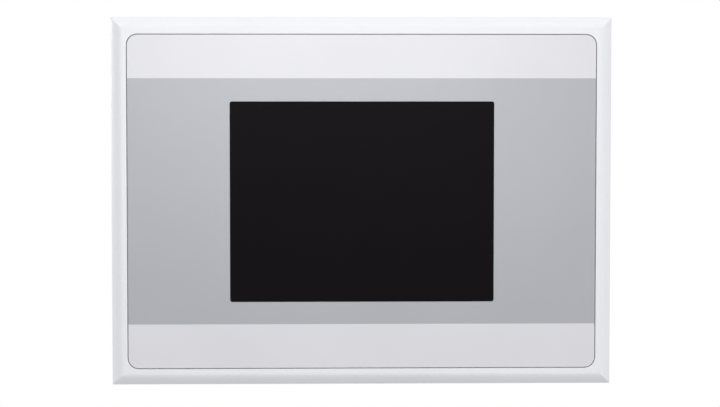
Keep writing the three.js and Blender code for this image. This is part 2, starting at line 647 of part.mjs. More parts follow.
// The moulded body behind the shell, with its nine pins.
function serialInsert() {
  const { height, shellW, shellH } = SERIAL;
  const middle = height / 2;
  const slack = 2 * (SERIAL_PINS.sheet + FIT);
  const nose = slabZ(dShape(shellW - slack, shellH - slack), -0.5, 4).translate(0, middle, 0);
  const body = block(20, 0, height, 7, 0, 3.5 + HOUSING.wall + FIT);
  const row = (n, y) =>
    spread(n).map((i) =>
      rodZ(SERIAL_PINS.radius, -SERIAL_PINS.length, 0, i * SERIAL_PINS.pitch, middle + y, 8),
    );
  return join(body, nose, ...row(5, -SERIAL_PINS.rowPitch / 2), ...row(4, SERIAL_PINS.rowPitch / 2));
}

const jackscrew = () => {
  const { across, length, stud, bore } = JACKSCREW;
  return cut(
    join(rodZ(across / Math.sqrt(3), -length, 0, 0, 0, 6), rodZ(stud, -0.5, 5, 0, 0, 12)),
    rodZ(bore, -length - 1, -1, 0, 0, 12),
  );
};

function powerHeader() {
  const middle = PLUG.shroud / 2;
  const well = box(
    -headerWidth / 2 + PLUG.wall,
    headerWidth / 2 - PLUG.wall,
    PLUG.wall,
    PLUG.shroud - PLUG.wall,
    -1,
    HEADER.well,
  );
  const pins = spread(PLUG.poles).map((i) =>
    box(
      i * PLUG.pitch - HEADER.pin / 2,
      i * PLUG.pitch + HEADER.pin / 2,
      middle - HEADER.pin / 2,
      middle + HEADER.pin / 2,
      HEADER.well - HEADER.pinLength,
      HEADER.well + 0.5,
    ),
  );
  const shroud = block(headerWidth, 0, PLUG.shroud, HEADER.depth, 0, HEADER.depth / 2);
  return join(cut(shroud, well), ...pins);
}

// The wires enter from below, and the clamp screws face the rear.
function powerPlug() {
  const halfW0 = plugWidth / 2;
  const slack = PLUG.wall + PLUG.play;
  const middle = PLUG.shroud / 2;
  const body = box(-halfW0, halfW0, 0.2, PLUG.depth, -PLUG.drop, -FIT);
  const tongue = box(-halfW0 + 0.2, halfW0 - 0.2, slack, PLUG.shroud - slack, -1, PLUG.engage);
  const perPole = spread(PLUG.poles).flatMap((i) => {
    const x = i * PLUG.pitch;
    const half = HEADER.socket / 2;
    return [
      box(x - half, x + half, middle - half, middle + half, 0.6, PLUG.engage + 1),
      box(x - 1.4, x + 1.4, 1.6, 4.8, -PLUG.drop - 1, -PLUG.drop + 8),
      rodY(TERMINAL.well, TERMINAL.y0 - FIT, PLUG.depth + 1, x, -TERMINAL.drop),
    ];
  });
  return cut(join(body, tongue), ...perPole);
}

const terminalScrew = () =>
  cut(rodY(TERMINAL.radius, TERMINAL.y0, TERMINAL.y1, 0, 0), block(0.7, TERMINAL.y1 - 0.9, 20, 5));

const at = (connector, z) => [connector.x, connector.lift ?? 0, z];
const connectors = group(
  part("network_jack", networkJack(), "brightMetal", at(NETWORK, -SOCKET_PROUD)),
  part("usb_a_socket", usbSocket(USB_A), "brightMetal", at(USB_A, -SOCKET_PROUD)),
  part("usb_mini_socket", usbSocket(USB_MINI), "brightMetal", at(USB_MINI, -SOCKET_PROUD)),
  part("serial_shell", serialShell(), "brightMetal", at(SERIAL, -JOINT)),
  part("serial_insert", serialInsert(), "chip", at(SERIAL, 0)),
  ...[-1, 1].map((s, i) =>
    part(`jackscrew_${i + 1}`, jackscrew(), "brightMetal", [
      SERIAL.x + (s * JACKSCREW.pitch) / 2,
      SERIAL.height / 2,
      -SERIAL.flange - 2 * JOINT,
    ]),
  ),
  part("power_header", powerHeader(), "green", [POWER_X, 0, 0]),
  part("power_plug", powerPlug(), "green", [POWER_X, 0, 0]),
  ...spread(PLUG.poles).map((i, n) =>
    part(`terminal_screw_${n + 1}`, terminalScrew(), "brightMetal", [
      POWER_X + i * PLUG.pitch,
      0,
      -TERMINAL.drop,
    ]),
  ),
);
connectors.position.set(0, yParts, zRoof);

const clamps = corners(outW, CLAMP.height, clamp);

export default group(front, display, housing, boardPieces, connectors, ...clamps);
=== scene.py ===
import json
import math
import bmesh
import bpy
import numpy as np
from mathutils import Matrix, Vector


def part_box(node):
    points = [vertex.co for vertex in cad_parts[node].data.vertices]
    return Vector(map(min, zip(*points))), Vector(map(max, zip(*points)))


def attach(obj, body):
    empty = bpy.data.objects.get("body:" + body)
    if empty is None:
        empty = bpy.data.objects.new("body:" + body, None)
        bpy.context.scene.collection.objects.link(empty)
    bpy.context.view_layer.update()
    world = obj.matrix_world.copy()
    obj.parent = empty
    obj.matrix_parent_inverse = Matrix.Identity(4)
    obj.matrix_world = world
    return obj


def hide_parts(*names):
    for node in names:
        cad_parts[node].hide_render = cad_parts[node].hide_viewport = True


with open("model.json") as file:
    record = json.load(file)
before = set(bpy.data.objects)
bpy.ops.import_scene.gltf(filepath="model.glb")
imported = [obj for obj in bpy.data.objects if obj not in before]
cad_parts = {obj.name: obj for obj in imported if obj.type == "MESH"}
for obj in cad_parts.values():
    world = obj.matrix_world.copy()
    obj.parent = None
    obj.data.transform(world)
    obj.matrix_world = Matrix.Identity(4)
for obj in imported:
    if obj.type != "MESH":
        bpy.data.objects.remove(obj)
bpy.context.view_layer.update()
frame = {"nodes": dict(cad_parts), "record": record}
MM = 0.001  # the frame is in metres; the sizes below are in millimetres
scene = bpy.context.scene


# ---- Camera ------------------------------------------------------------------
# A long lens half a metre in front of the panel, a little to the left and above, so that the
# panel is seen almost square on.
LENS, SENSOR = 100.0, 36.0
CAMERA_AT = Vector((-14.1, -545.5, 27.0)) * MM
CAMERA_AIM = Vector((-0.45, -0.15, -0.69)) * MM


def add_object(name, data):
    """Links a new object to the scene at the origin."""
    made = bpy.data.objects.new(name, data)
    scene.collection.objects.link(made)
    return made


camera = add_object("camera", bpy.data.cameras.new("camera"))
camera.data.lens = LENS
camera.data.sensor_width = SENSOR
camera.location = CAMERA_AT
camera.rotation_euler = (CAMERA_AIM - CAMERA_AT).to_track_quat("-Z", "Y").to_euler()
scene.camera = camera


# ---- Studio ------------------------------------------------------------------
# White surroundings, a little dimmer overhead, and a white floor too far below to take a
# shadow; the camera sees both as plain white. Soft boxes above, over, to the right of and
# behind the panel shade the slopes of its frame, and a card in front adds only a sheen.
SURROUND, CEILING = 0.955, 0.815  # brightness all round and straight above
DIMS_FROM, DIMS_TO = 0.3, 0.9  # upward part of the direction between which it falls off
FLOOR_DROP = 950.0
FLOOR_SIZE = 20000.0
SOFT_BOXES = {  # name: place, aim, width, height, watts, whether it lights matt surfaces
    "soft_box_above": ((-20, -180, 200), (0, 0, 30), 200, 120, 0.11, True),
    "soft_box_top": ((0, -60, 400), (0, 0, 30), 500, 200, 0.12, True),
    "soft_box_right": ((400, -300, 50), (0, 0, 0), 400, 400, 0.3, True),
    "soft_box_behind": ((-600, 700, 250), (0, 20, 0), 500, 500, 2.5, True),
    "sheen_card": ((-10, -400, 60), (0, 0, 35), 200, 120, 0.55, False),
}
WHITE = (1.0, 1.0, 1.0, 1.0)


def fill_inputs(node, inputs):
    """Sets a node's inputs: a number or colour as it is, a socket or another node by a link."""
    for name, value in inputs.items():
        if isinstance(value, bpy.types.Node):
            value = next(socket for socket in value.outputs if socket.enabled)
        if isinstance(value, bpy.types.NodeSocket):
            node.id_data.links.new(value, node.inputs[name])
        else:
            node.inputs[name].default_value = value


def add_node(tree, kind, inputs=None, **settings):
    """Adds one node, sets its properties and fills its inputs."""
    made = tree.nodes.new("ShaderNode" + kind)
    for name, value in settings.items():
        setattr(made, name, value)
    fill_inputs(made, inputs or {})
    return made


def hex_colour(code):
    """An sRGB colour such as "c8ccd0" as linear red, green, blue and alpha."""
    srgb = np.array([int(code[i:i + 2], 16) for i in (0, 2, 4)]) / 255
    linear = np.where(srgb <= 0.04045, srgb / 12.92, ((srgb + 0.055) / 1.055) ** 2.4)
    return (*linear.tolist(), 1.0)


def white_behind(tree, seen_by_light):
    """Chooses white for what the camera sees directly and the other colour for all else."""
    ray = add_node(tree, "LightPath").outputs["Is Camera Ray"]
    return add_node(tree, "Mix", {0: ray, 6: seen_by_light, 7: WHITE}, data_type="RGBA")


scene.view_settings.view_transform = "Standard"
world = bpy.data.worlds.new("studio")
scene.world = world
world.use_nodes = True
sky = world.node_tree
sky.nodes.clear()
looking = add_node(sky, "TexCoord").outputs["Generated"]
upward = add_node(sky, "SeparateXYZ", {0: looking}).outputs["Z"]
dimming = add_node(sky, "MapRange", {"Value": upward, "From Min": DIMS_FROM, "From Max": DIMS_TO,
                                     "To Min": SURROUND, "To Max": CEILING})
backdrop = add_node(sky, "Background", {"Color": white_behind(sky, dimming)})
add_node(sky, "OutputWorld", {"Surface": backdrop})

for name, (place, aim, width, height, watts, lights_matt) in SOFT_BOXES.items():
    lamp = bpy.data.lights.new(name, "AREA")
    lamp.shape = "RECTANGLE"
    lamp.size, lamp.size_y, lamp.energy = width * MM, height * MM, watts
    light = add_object(name, lamp)
    light.location = Vector(place) * MM
    light.rotation_euler = (Vector(aim) - Vector(place)).to_track_quat("-Z", "Y").to_euler()
    light.visible_camera = False
    light.visible_diffuse = lights_matt

floor_mesh = bpy.data.meshes.new("studio_floor")
side, drop = FLOOR_SIZE / 2 * MM, -FLOOR_DROP * MM
floor_corners = [(-side, -side, drop), (side, -side, drop), (side, side, drop), (-side, side, drop)]
floor_mesh.from_pydata(floor_corners, [], [(0, 1, 2, 3)])
studio_floor = add_object("studio_floor", floor_mesh)
floor_paint = bpy.data.materials.new("floor_paint")
floor_paint.use_nodes = True
paint = floor_paint.node_tree
paint.nodes.clear()
floor_glow = add_node(paint, "Emission", {"Color": white_behind(paint, hex_colour("d2d2d2"))})
add_node(paint, "OutputMaterial", {"Surface": floor_glow})
floor_mesh.materials.append(floor_paint)


# ---- Front frame -------------------------------------------------------------
# The pale front moulding, injected in white ABS with a fine satin grain. Its border slopes
# outwards, bulges a little and is mitred at the corners; inside it a flat rim holds the overlay.
FRAME_EDGE = 1.3  # upright outer edge
FRAME_SLOPE = 3.35  # width of the sloped border
SLOPE_BULGE = 0.85  # below 1 the slope bulges
SLOPE_POINTS, SLOPE_CROWDING = 26, 1.4  # points across the slope, crowded towards its outer edge
MITRE_RADIUS = 0.12
OVERLAY_GAP = 0.25
OVERLAY_CORNER = 2.75
JOINT_WIDTH, JOINT_DEPTH = 0.4, 0.6  # groove under the overlay's edge, which darkens the joint
MOULDED_EDGE = 0.12  # rounding that a mould leaves on a sharp edge
POCKET_PLAY, POCKET_CORNER = 0.3, 0.3  # round the touch sensor
WEB_INSET_X, WEB_INSET_Z, WEB_DEPTH = 1.7, 2.85, 1.0  # the web behind the sensor's edge
COLLAR_WALL, COLLAR_CORNER = 2, 2.0  # the collar reaches back to the housing
SEAL_WIDTH, SEAL_CORNER, SEAL_PLAY = 2.1, 3.0, 0.15
FACE_PLAY, SENSOR_PLAY = 0.05, 0.02  # gaps to the next piece behind
POST_RADIUS, POST_BORE, POST_INSET, POST_ROOT = 3.5, 1.6, 2.75, 0.2
ABS_GRAIN = 0.35  # coarser than the real grain, which wouldn't show
HANDLING = 25.0  # size of the patches that handling leaves on plastic
NOISE_SPAN = (0.3, 0.7)  # a noise pattern seldom leaves these values

BODIES = frame["record"]["behaviour"]["bodies"]
BODY_OF = {node: body for body, nodes in BODIES.items() for node in nodes}


def node_box(node):
    """Lowest and highest corner of a CAD node, in millimetres."""
    low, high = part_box(node)
    return np.array(low) / MM, np.array(high) / MM


def rounded_loops(half_x, half_z, radius, y, arc=8, lead=0.5):
    """Rectangles with round corners, one per row, each at its own depth y.

    A corner is a quarter circle, its centre plus radius times (cosine, sine), with one more
    point `lead` along the straight on either side, so loops of any size match point for point.
    """
    half_x, half_z, radius, y = (np.asarray(v, float).reshape(-1, 1)
                                 for v in (half_x, half_z, radius, y))
    turn = np.concatenate([[0], np.linspace(0, np.pi / 2, arc + 1), [np.pi / 2]])
    angle = (turn + np.arange(4)[:, None] * np.pi / 2).ravel()
    slide = np.tile(np.concatenate([[-lead], np.zeros(arc + 1), [lead]]), 4)
    sign_x = np.repeat([1, -1, -1, 1], arc + 3)
    sign_z = np.repeat([1, 1, -1, -1], arc + 3)
    x = sign_x * (half_x - radius) + radius * np.cos(angle) - slide * np.sin(angle)
    z = sign_z * (half_z - radius) + radius * np.sin(angle) + slide * np.cos(angle)
    return np.stack(np.broadcast_arrays(x, y, z), -1)


def soften(line, width, steps=4):
    """Rounds every corner of an open line, leaving its two ends.

    Corner C becomes the parabola (1-t)^2 A + 2t(1-t) C + t^2 B, where A and B lie `width`
    before and after it, but never past the middle of a side.
    """
    line = np.asarray(line, float)
    corner = line[1:-1]
    sides = line[:-2] - corner, line[2:] - corner
    lengths = [np.maximum(np.linalg.norm(side, axis=1), 1e-9) for side in sides]
    a, b = (corner + side * np.minimum(width / length, 0.49)[:, None]
            for side, length in zip(sides, lengths))
    t = np.linspace(0, 1, steps + 1)[None, :, None]
    bent = (1 - t) ** 2 * a[:, None] + 2 * t * (1 - t) * corner[:, None] + t ** 2 * b[:, None]
    return np.vstack([line[:1], bent.reshape(-1, line.shape[1]), line[-1:]])


def grid_shape(points, wrap_rows=False):
    """Joins a grid of points with four-sided faces. Each row closes on itself, and with
    wrap_rows the last row joins the first."""
    rows, columns = points.shape[:2]
    index = np.arange(rows * columns).reshape(rows, columns)
    if wrap_rows:
        index = np.vstack([index, index[:1]])
    index = np.hstack([index, index[:, :1]])
    quads = np.stack([index[:-1, :-1], index[1:, :-1], index[1:, 1:], index[:-1, 1:]], -1)
    return points.reshape(-1, 3), quads.reshape(-1, 4)


def turned(profile, centre, axis=1, sides=32, ring=False):
    """A profile of (radius, height) rows turned about a line along X, Y or Z through centre."""
    radius, height = np.asarray(profile, float).T
    angle = np.arange(sides) * 2 * np.pi / sides
    grid = np.zeros((len(radius), sides, 3))
    across = [i for i in range(3) if i != axis]
    grid[..., across[0]] = radius[:, None] * np.cos(angle)
    grid[..., across[1]] = radius[:, None] * np.sin(angle)
    grid[..., axis] = height[:, None]
    return grid_shape(grid + np.asarray(centre, float), wrap_rows=ring)


def together(shapes):
    """Several shapes as one."""
    starts = np.cumsum([0] + [len(points) for points, _ in shapes])
    return (np.vstack([points for points, _ in shapes]),
            np.vstack([quads + start for (_, quads), start in zip(shapes, starts)]))


def finish_piece(piece, finish, node, stands_for=True, slot=None):
    """Gives a piece its material, evens its shading, and ties it to its CAD node: it rides on
    that node's body, and stands for the node unless it is only a detail on it."""
    piece.data.materials.clear()
    piece.data.materials.append(finish)
    piece.data.polygons.foreach_set("use_smooth", np.ones(len(piece.data.polygons), bool))
    evened = piece.modifiers.new("flat faces stay flat", "WEIGHTED_NORMAL")
    evened.keep_sharp = True
    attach(piece, BODY_OF[node])
    if stands_for:
        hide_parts(node)
    return piece


def new_piece(name, shape, finish, node, **ties):
    """Makes a piece from points in millimetres; seams and poles are merged, faces look out."""
    points, quads = shape
    mesh = bpy.data.meshes.new(name)
    mesh.from_pydata((points * MM).tolist(), [], quads.tolist())
    work = bmesh.new()
    work.from_mesh(mesh)
    bmesh.ops.remove_doubles(work, verts=work.verts, dist=1e-7)
    bmesh.ops.dissolve_degenerate(work, edges=work.edges, dist=1e-8)
    bmesh.ops.recalc_face_normals(work, faces=work.faces)
    work.to_mesh(mesh)
    work.free()
    return finish_piece(add_object(name, mesh), finish, node, **ties)


def start_material(name, **constants):
    """A new material: itself, its node tree, its shader with these constants, and the place of
    each point on the piece."""
    made = bpy.data.materials.new(name)
    made.use_nodes = True
    shader = made.node_tree.nodes["Principled BSDF"]
    for socket, value in constants.items():
        shader.inputs[socket.replace("_", " ")].default_value = value
    where = add_node(made.node_tree, "TexCoord").outputs["Object"]
    return made, made.node_tree, shader, where


def vary(shader, code, slow, tones, fine, roughs, span=(0.0, 1.0), relief=None):
    """What plastic, sheet, rubber and metal share. While the slow pattern goes through span,
    the colour goes from the darker to the lighter of the tones, which are factors on `code`;
    the fine pattern does the same for the roughness. Relief is (pattern, strength, depth)."""
    tree = shader.id_data
    ramp = add_node(tree, "ValToRGB", {"Fac": slow})
    for stop, place, tone in zip(ramp.color_ramp.elements, span, tones):
        stop.position = place
        stop.color = (*np.minimum(np.array(hex_colour(code)[:3]) * tone, 1), 1)
    rough = add_node(tree, "MapRange", {"Value": fine, "From Min": span[0], "From Max": span[1],
                                        "To Min": roughs[0], "To Max": roughs[1]})
    fill_inputs(shader, {"Base Color": ramp, "Roughness": rough})
    if relief:
        values = {"Height": relief[0], "Strength": relief[1], "Distance": relief[2] * MM}
        fill_inputs(shader, {"Normal": add_node(tree, "Bump", values)})


def moulded_plastic(name, code, roughness, grain, depth, mottle):
    """Injection-moulded plastic: one colour through and through, a satin grain of `grain` mm
    from the spark-eroded mould, and a tone that wanders a little where it was handled."""
    made, tree, shader, where = start_material(name, IOR=1.53)
    cloud = add_node(tree, "TexNoise", {"Vector": where, "Scale": 1 / (HANDLING * MM),
                                        "Detail": 3.0, "Roughness": 0.55})
    grained = add_node(tree, "TexNoise", {"Vector": where, "Scale": 1 / (grain * MM),
                                          "Detail": 2.0, "Roughness": 0.5})
    vary(shader, code, cloud, (1 - mottle, 1 + mottle), grained,
         (roughness - 0.04, roughness + 0.06), NOISE_SPAN, relief=(grained, 0.25, depth))
    return made


frame_low, frame_high = node_box("front_frame")
foil_low, foil_high = node_box("front_foil")
film_y = node_box("touch_film")[0][1]
touch_high = node_box("touch_glass")[1]
seal_low, seal_high = node_box("panel_seal")
shell_low, shell_high = node_box("rear_housing")
board_low, board_high = node_box("main_board")

front_y = frame_low[1]
outer_x, outer_z = frame_high[0], frame_high[2]
slope_x, slope_z = outer_x - FRAME_SLOPE, outer_z - FRAME_SLOPE
recess_x, recess_z = foil_high[0] + OVERLAY_GAP, foil_high[2] + OVERLAY_GAP
ledge_x, ledge_z = recess_x - JOINT_WIDTH, recess_z - JOINT_WIDTH
pocket_x, pocket_z = touch_high[0] + POCKET_PLAY, touch_high[2] + POCKET_PLAY
web_x, web_z = touch_high[0] - WEB_INSET_X, touch_high[2] - WEB_INSET_Z
web_front = touch_high[1] + SENSOR_PLAY
web_back = web_front + WEB_DEPTH
collar_x, collar_z = shell_high[0], shell_high[2]
cavity_x, cavity_z = collar_x - COLLAR_WALL, collar_z - COLLAR_WALL
collar_y = shell_low[1] - FACE_PLAY
groove_x, groove_z = seal_high[0] + SEAL_PLAY, seal_high[2] + SEAL_PLAY
groove_width = SEAL_WIDTH + 2 * SEAL_PLAY
groove_y = seal_low[1] - FACE_PLAY

# rows of half width, half height, corner radius and depth, from the slope's inner edge
# round the inside and the back to the outer edge
inside_and_back = [
    (slope_x, slope_z, MITRE_RADIUS, front_y),
    (recess_x, recess_z, OVERLAY_CORNER + OVERLAY_GAP, front_y),
    (recess_x, recess_z, OVERLAY_CORNER + OVERLAY_GAP, film_y + JOINT_DEPTH),
    (ledge_x, ledge_z, OVERLAY_CORNER, film_y + JOINT_DEPTH),
    (ledge_x, ledge_z, OVERLAY_CORNER, film_y),
    (pocket_x, pocket_z, POCKET_CORNER, film_y),
    (pocket_x, pocket_z, POCKET_CORNER, web_front),
    (web_x, web_z, POCKET_CORNER, web_front),
    (web_x, web_z, POCKET_CORNER, web_back),
    (cavity_x, cavity_z, COLLAR_CORNER, web_back),
    (cavity_x, cavity_z, COLLAR_CORNER, collar_y),
    (collar_x, collar_z, COLLAR_CORNER, collar_y),
    (collar_x, collar_z, COLLAR_CORNER, 0),
    (groove_x - groove_width, groove_z - groove_width, SEAL_CORNER, 0),
    (groove_x - groove_width, groove_z - groove_width, SEAL_CORNER, groove_y),
    (groove_x, groove_z, SEAL_CORNER + groove_width, groove_y),
    (groove_x, groove_z, SEAL_CORNER + groove_width, 0),
    (outer_x, outer_z, MITRE_RADIUS, 0),
    (outer_x, outer_z, MITRE_RADIUS, -FRAME_EDGE),
]
# the slope: it goes in by FRAME_SLOPE while it rises as a sine to the power SLOPE_BULGE
t = np.linspace(0, 1, SLOPE_POINTS)[1:-1, None] ** SLOPE_CROWDING
slope = np.hstack([
    outer_x - FRAME_SLOPE * t, outer_z - FRAME_SLOPE * t, np.full_like(t, MITRE_RADIUS),
    -FRAME_EDGE + (front_y + FRAME_EDGE) * np.sin(t * np.pi / 2) ** SLOPE_BULGE,
])
section = np.vstack([soften(inside_and_back, MOULDED_EDGE), slope])
frame_shape = grid_shape(rounded_loops(*section.T), wrap_rows=True)


def tube_section(inner, outer, low, high, edge=MOULDED_EDGE):
    """The closed section of a tube as (radius, height) rows, its four edges rounded."""
    corners = [(inner, low), (outer, low), (outer, high), (inner, high)]
    middle = ((inner, (low + high) / 2),)
    return soften([*middle, *corners, *middle], edge)[:-1]


screw_x, screw_z = node_box("housing_screw_2")[1][[0, 2]] - POST_INSET
post = tube_section(POST_BORE, POST_RADIUS, web_back - POST_ROOT, board_low[1] - FACE_PLAY)
posts = [turned(post[::-1], (x, 0, z), ring=True)
         for x in (-screw_x, screw_x) for z in (-screw_z, screw_z)]

# the satin grain spreads every reflection, so the slopes shade softly from edge to edge
pale_abs = moulded_plastic("white_abs_moulded", "e9eaee", 0.42, ABS_GRAIN, 0.01, mottle=0.012)
new_piece("front_moulding", together([frame_shape, *posts]), pale_abs, "front_frame")


# ---- Overlay and window ------------------------------------------------------
# A polyester overlay printed on its back: two pale bands, a grey band between them and a clear
# window over the display. It lies in the frame's recess with a fine joint all round.
BAND_TOP, BAND_BOTTOM = 33.4, -33.2
WINDOW_X, WINDOW_Z, WINDOW_CORNER, WINDOW_PLAY = 35.75, 27.15, 0.6, 0.02
FOIL_EDGE, WINDOW_EDGE = 0.04, 0.02
PRINT_GRAIN = 0.12
INK_PATCH, WINDOW_PATCH = 30.0, 18.0  # size of the slow changes of tone


def plate_ring(outer, inner, low, high, edge):
    """A flat ring between two round-cornered rectangles, its four edges broken by `edge`."""
    start = (*outer, (low + high) / 2)
    rows = [start, (*outer, low), (*inner, low), (*inner, high), (*outer, high), start]
    return grid_shape(rounded_loops(*soften(rows, edge, steps=2)[:-1].T), wrap_rows=True)


def plate(half_x, half_z, radius, low, high, edge, lead=0.5):
    """A flat round-cornered plate, its edges broken by `edge`, closed in the middle."""
    rows = [(0, 0, 0, low), (half_x, half_z, radius, low),
            (half_x, half_z, radius, high), (0, 0, 0, high)]
    flat = rounded_loops(*soften(rows, edge, steps=2)[1:-1].T, lead=lead)
    middle = [np.broadcast_to([[0, y, 0]], flat[:1].shape[1:]) for y in (low, high)]
    return grid_shape(np.stack([middle[0], *flat, middle[1]]))


def printed_film(name, pale, grey):
    """Polyester printed on its back, with a velvet front: satin, a fine even grain, and two
    colours that change in a straight line."""
    made, tree, shader, where = start_material(name, IOR=1.57)
    height = add_node(tree, "SeparateXYZ", {0: where}).outputs["Z"]
    centred = add_node(tree, "Math", {0: height, 1: (BAND_TOP + BAND_BOTTOM) / 2 * MM},
                       operation="SUBTRACT")
    away = add_node(tree, "Math", {0: centred}, operation="ABSOLUTE")
    in_band = add_node(tree, "Math", {0: away, 1: (BAND_TOP - BAND_BOTTOM) / 2 * MM},
                       operation="LESS_THAN")
    inks = add_node(tree, "Mix", {0: in_band, 6: hex_colour(pale), 7: hex_colour(grey)},
                    data_type="RGBA")
    cloud = add_node(tree, "TexNoise", {"Vector": where, "Scale": 1 / (INK_PATCH * MM),
                                        "Detail": 2.0, "Roughness": 0.5})
    shade = add_node(tree, "MapRange",
                     {"Value": cloud, "From Min": NOISE_SPAN[0], "From Max": NOISE_SPAN[1],
                      "To Min": 0.985, "To Max": 1.015})
    tinted = add_node(tree, "Mix", {0: 1.0, 6: inks, 7: shade},
                      data_type="RGBA", blend_type="MULTIPLY")
    fine = add_node(tree, "TexNoise",
                    {"Vector": where, "Scale": 1 / (PRINT_GRAIN * MM), "Detail": 1.0})
    rough = add_node(tree, "MapRange",
                     {"Value": fine, "From Min": NOISE_SPAN[0], "From Max": NOISE_SPAN[1],
                      "To Min": 0.34, "To Max": 0.42})
    bump = add_node(tree, "Bump", {"Height": fine, "Strength": 0.12, "Distance": 0.004 * MM})
    fill_inputs(shader, {"Base Color": tinted, "Roughness": rough, "Normal": bump})
    return made


def clear_hardcoat(name, code):
    """Clear, hard-coated window film over a switched-off display: smooth and near black, with
    almost no mirror image because the film is treated against glare."""
    made, tree, shader, where = start_material(name, IOR=1.5, Specular_IOR_Level=0.008)
    cloud = add_node(tree, "TexNoise",
                     {"Vector": where, "Scale": 1 / (WINDOW_PATCH * MM), "Detail": 3.0,
                      "Roughness": 0.6})
    vary(shader, code, cloud, (0.92, 1.08), cloud, (0.22, 0.3))
    return made


overlay_print = printed_film("polyester_film_printed", "d9d9de", "a9abb1")
window_film = clear_hardcoat("window_film_hardcoated", "161417")
foil_front, foil_back = foil_low[1], foil_high[1]
overlay_shape = plate_ring((foil_high[0], foil_high[2], OVERLAY_CORNER),
                           (WINDOW_X, WINDOW_Z, WINDOW_CORNER), foil_front, foil_back, FOIL_EDGE)
window_shape = plate(WINDOW_X - WINDOW_PLAY, WINDOW_Z - WINDOW_PLAY, WINDOW_CORNER,
                     foil_front, foil_back, WINDOW_EDGE)
new_piece("overlay_print", overlay_shape, overlay_print, "front_foil")
new_piece("display_window", window_shape, window_film, "front_foil", slot="touch_film")


# ---- Adhesive and touch sensor -----------------------------------------------
# White transfer adhesive holds the overlay. Under the window lie the resistive sensor's film
# and its glass, cut from sheet; a flat amber tail runs from the glass to the board.
SHEET_EDGE = 0.04
TRACK_PITCH = 1.0  # twice the real pitch, so that the tail's lines show


def dressed_copy(node, name, finish, edge, segments=3):
    """A copy of a CAD node with its points merged and every edge rounded by `edge` mm, as the
    mould, saw or press tool leaves it."""
    mesh = frame["nodes"][node].data.copy()
    mesh.name = name
    work = bmesh.new()
    work.from_mesh(mesh)
    bmesh.ops.remove_doubles(work, verts=work.verts, dist=1e-6)
    work.to_mesh(mesh)
    work.free()
    piece = add_object(name, mesh)
    rounding = piece.modifiers.new("rounded edges", "BEVEL")
    rounding.width = edge * MM
    rounding.segments = segments
    rounding.limit_method = "ANGLE"
    rounding.angle_limit = math.radians(31)
    return finish_piece(piece, finish, node)


def sheet_material(name, code, roughness, speck, ior=1.5, see_through=0.0):
    """Cast or rolled sheet: smooth, one colour, with a faint cloudiness `speck` mm across."""
    made, tree, shader, where = start_material(name, IOR=ior, Transmission_Weight=see_through)
    cloud = add_node(tree, "TexNoise", {"Vector": where, "Scale": 1 / (speck * MM), "Detail": 2.0})
    vary(shader, code, cloud, (0.93, 1.05), cloud, (roughness * 0.8, roughness * 1.2))
    return made


def amber_tail(name):
    """Etched copper under amber polyimide: dark lines TRACK_PITCH apart run along the tail."""
    made, tree, shader, where = start_material(name, IOR=1.7, Roughness=0.35)
    across = add_node(tree, "SeparateXYZ", {0: where}).outputs["X"]
    tracks = add_node(tree, "Math", {0: across, 1: 1 / (TRACK_PITCH * MM)}, operation="MULTIPLY")
    phase = add_node(tree, "Math", {0: tracks}, operation="FRACT")
    line = add_node(tree, "Math", {0: phase, 1: 0.55}, operation="GREATER_THAN")
    colour = add_node(tree, "Mix", {0: line, 6: hex_colour("b9772a"), 7: hex_colour("8a4a22")},
                      data_type="RGBA")
    bump = add_node(tree, "Bump", {"Height": line, "Strength": 0.4, "Distance": 0.02 * MM})
    fill_inputs(shader, {"Base Color": colour, "Normal": bump})
    return made


# chalky glue, dark smooth film, faintly green glass that shows its edge, and a brown ribbon
transfer_glue = sheet_material("acrylic_transfer_adhesive", "e4e3dc", 0.6, 3.0)
sensor_film = sheet_material("polyester_sensor_film", "1b1c1e", 0.2, 8.0)
sensor_glass = sheet_material("soda_lime_float_glass", "a9b8b2", 0.05, 12.0, 1.52, 0.6)
polyimide = amber_tail("polyimide_laminated")
dressed_copy("foil_adhesive", "overlay_adhesive", transfer_glue, 0.02, 1)
dressed_copy("touch_film", "sensor_film", sensor_film, SHEET_EDGE, 2)
dressed_copy("touch_glass", "sensor_glass", sensor_glass, 0.15)
dressed_copy("touch_tail", "sensor_tail", polyimide, 0.03, 1)


# ---- Display module ----------------------------------------------------------
# A foam gasket, then a pressed tinplate frame round the liquid-crystal glass, the frosted
# acrylic light guide and its strip of light-emitting diodes, with a broad amber tail.
PORE = 0.5
DUST_PATCH, PLATING_PATCH = 6.0, 5.0
ROLLED_STREAK = 0.15  # coarser than real rolling marks, which wouldn't show


def open_foam(name, code, pore, depth):
    """Foamed or unfilled rubber: matt and dark, with pits `pore` mm across and a dusty sheen."""
    made, tree, shader, where = start_material(name, IOR=1.5, Sheen_Weight=0.15,
                                               Sheen_Roughness=0.5)
    pits = add_node(tree, "TexVoronoi", {"Vector": where, "Scale": 1 / (pore * MM)})
    dust = add_node(tree, "TexNoise",
                    {"Vector": where, "Scale": 1 / (DUST_PATCH * MM), "Detail": 4.0})
    vary(shader, code, dust, (0.8, 1.35), dust, (0.7, 0.9), relief=(pits, 0.5, depth))
    return made


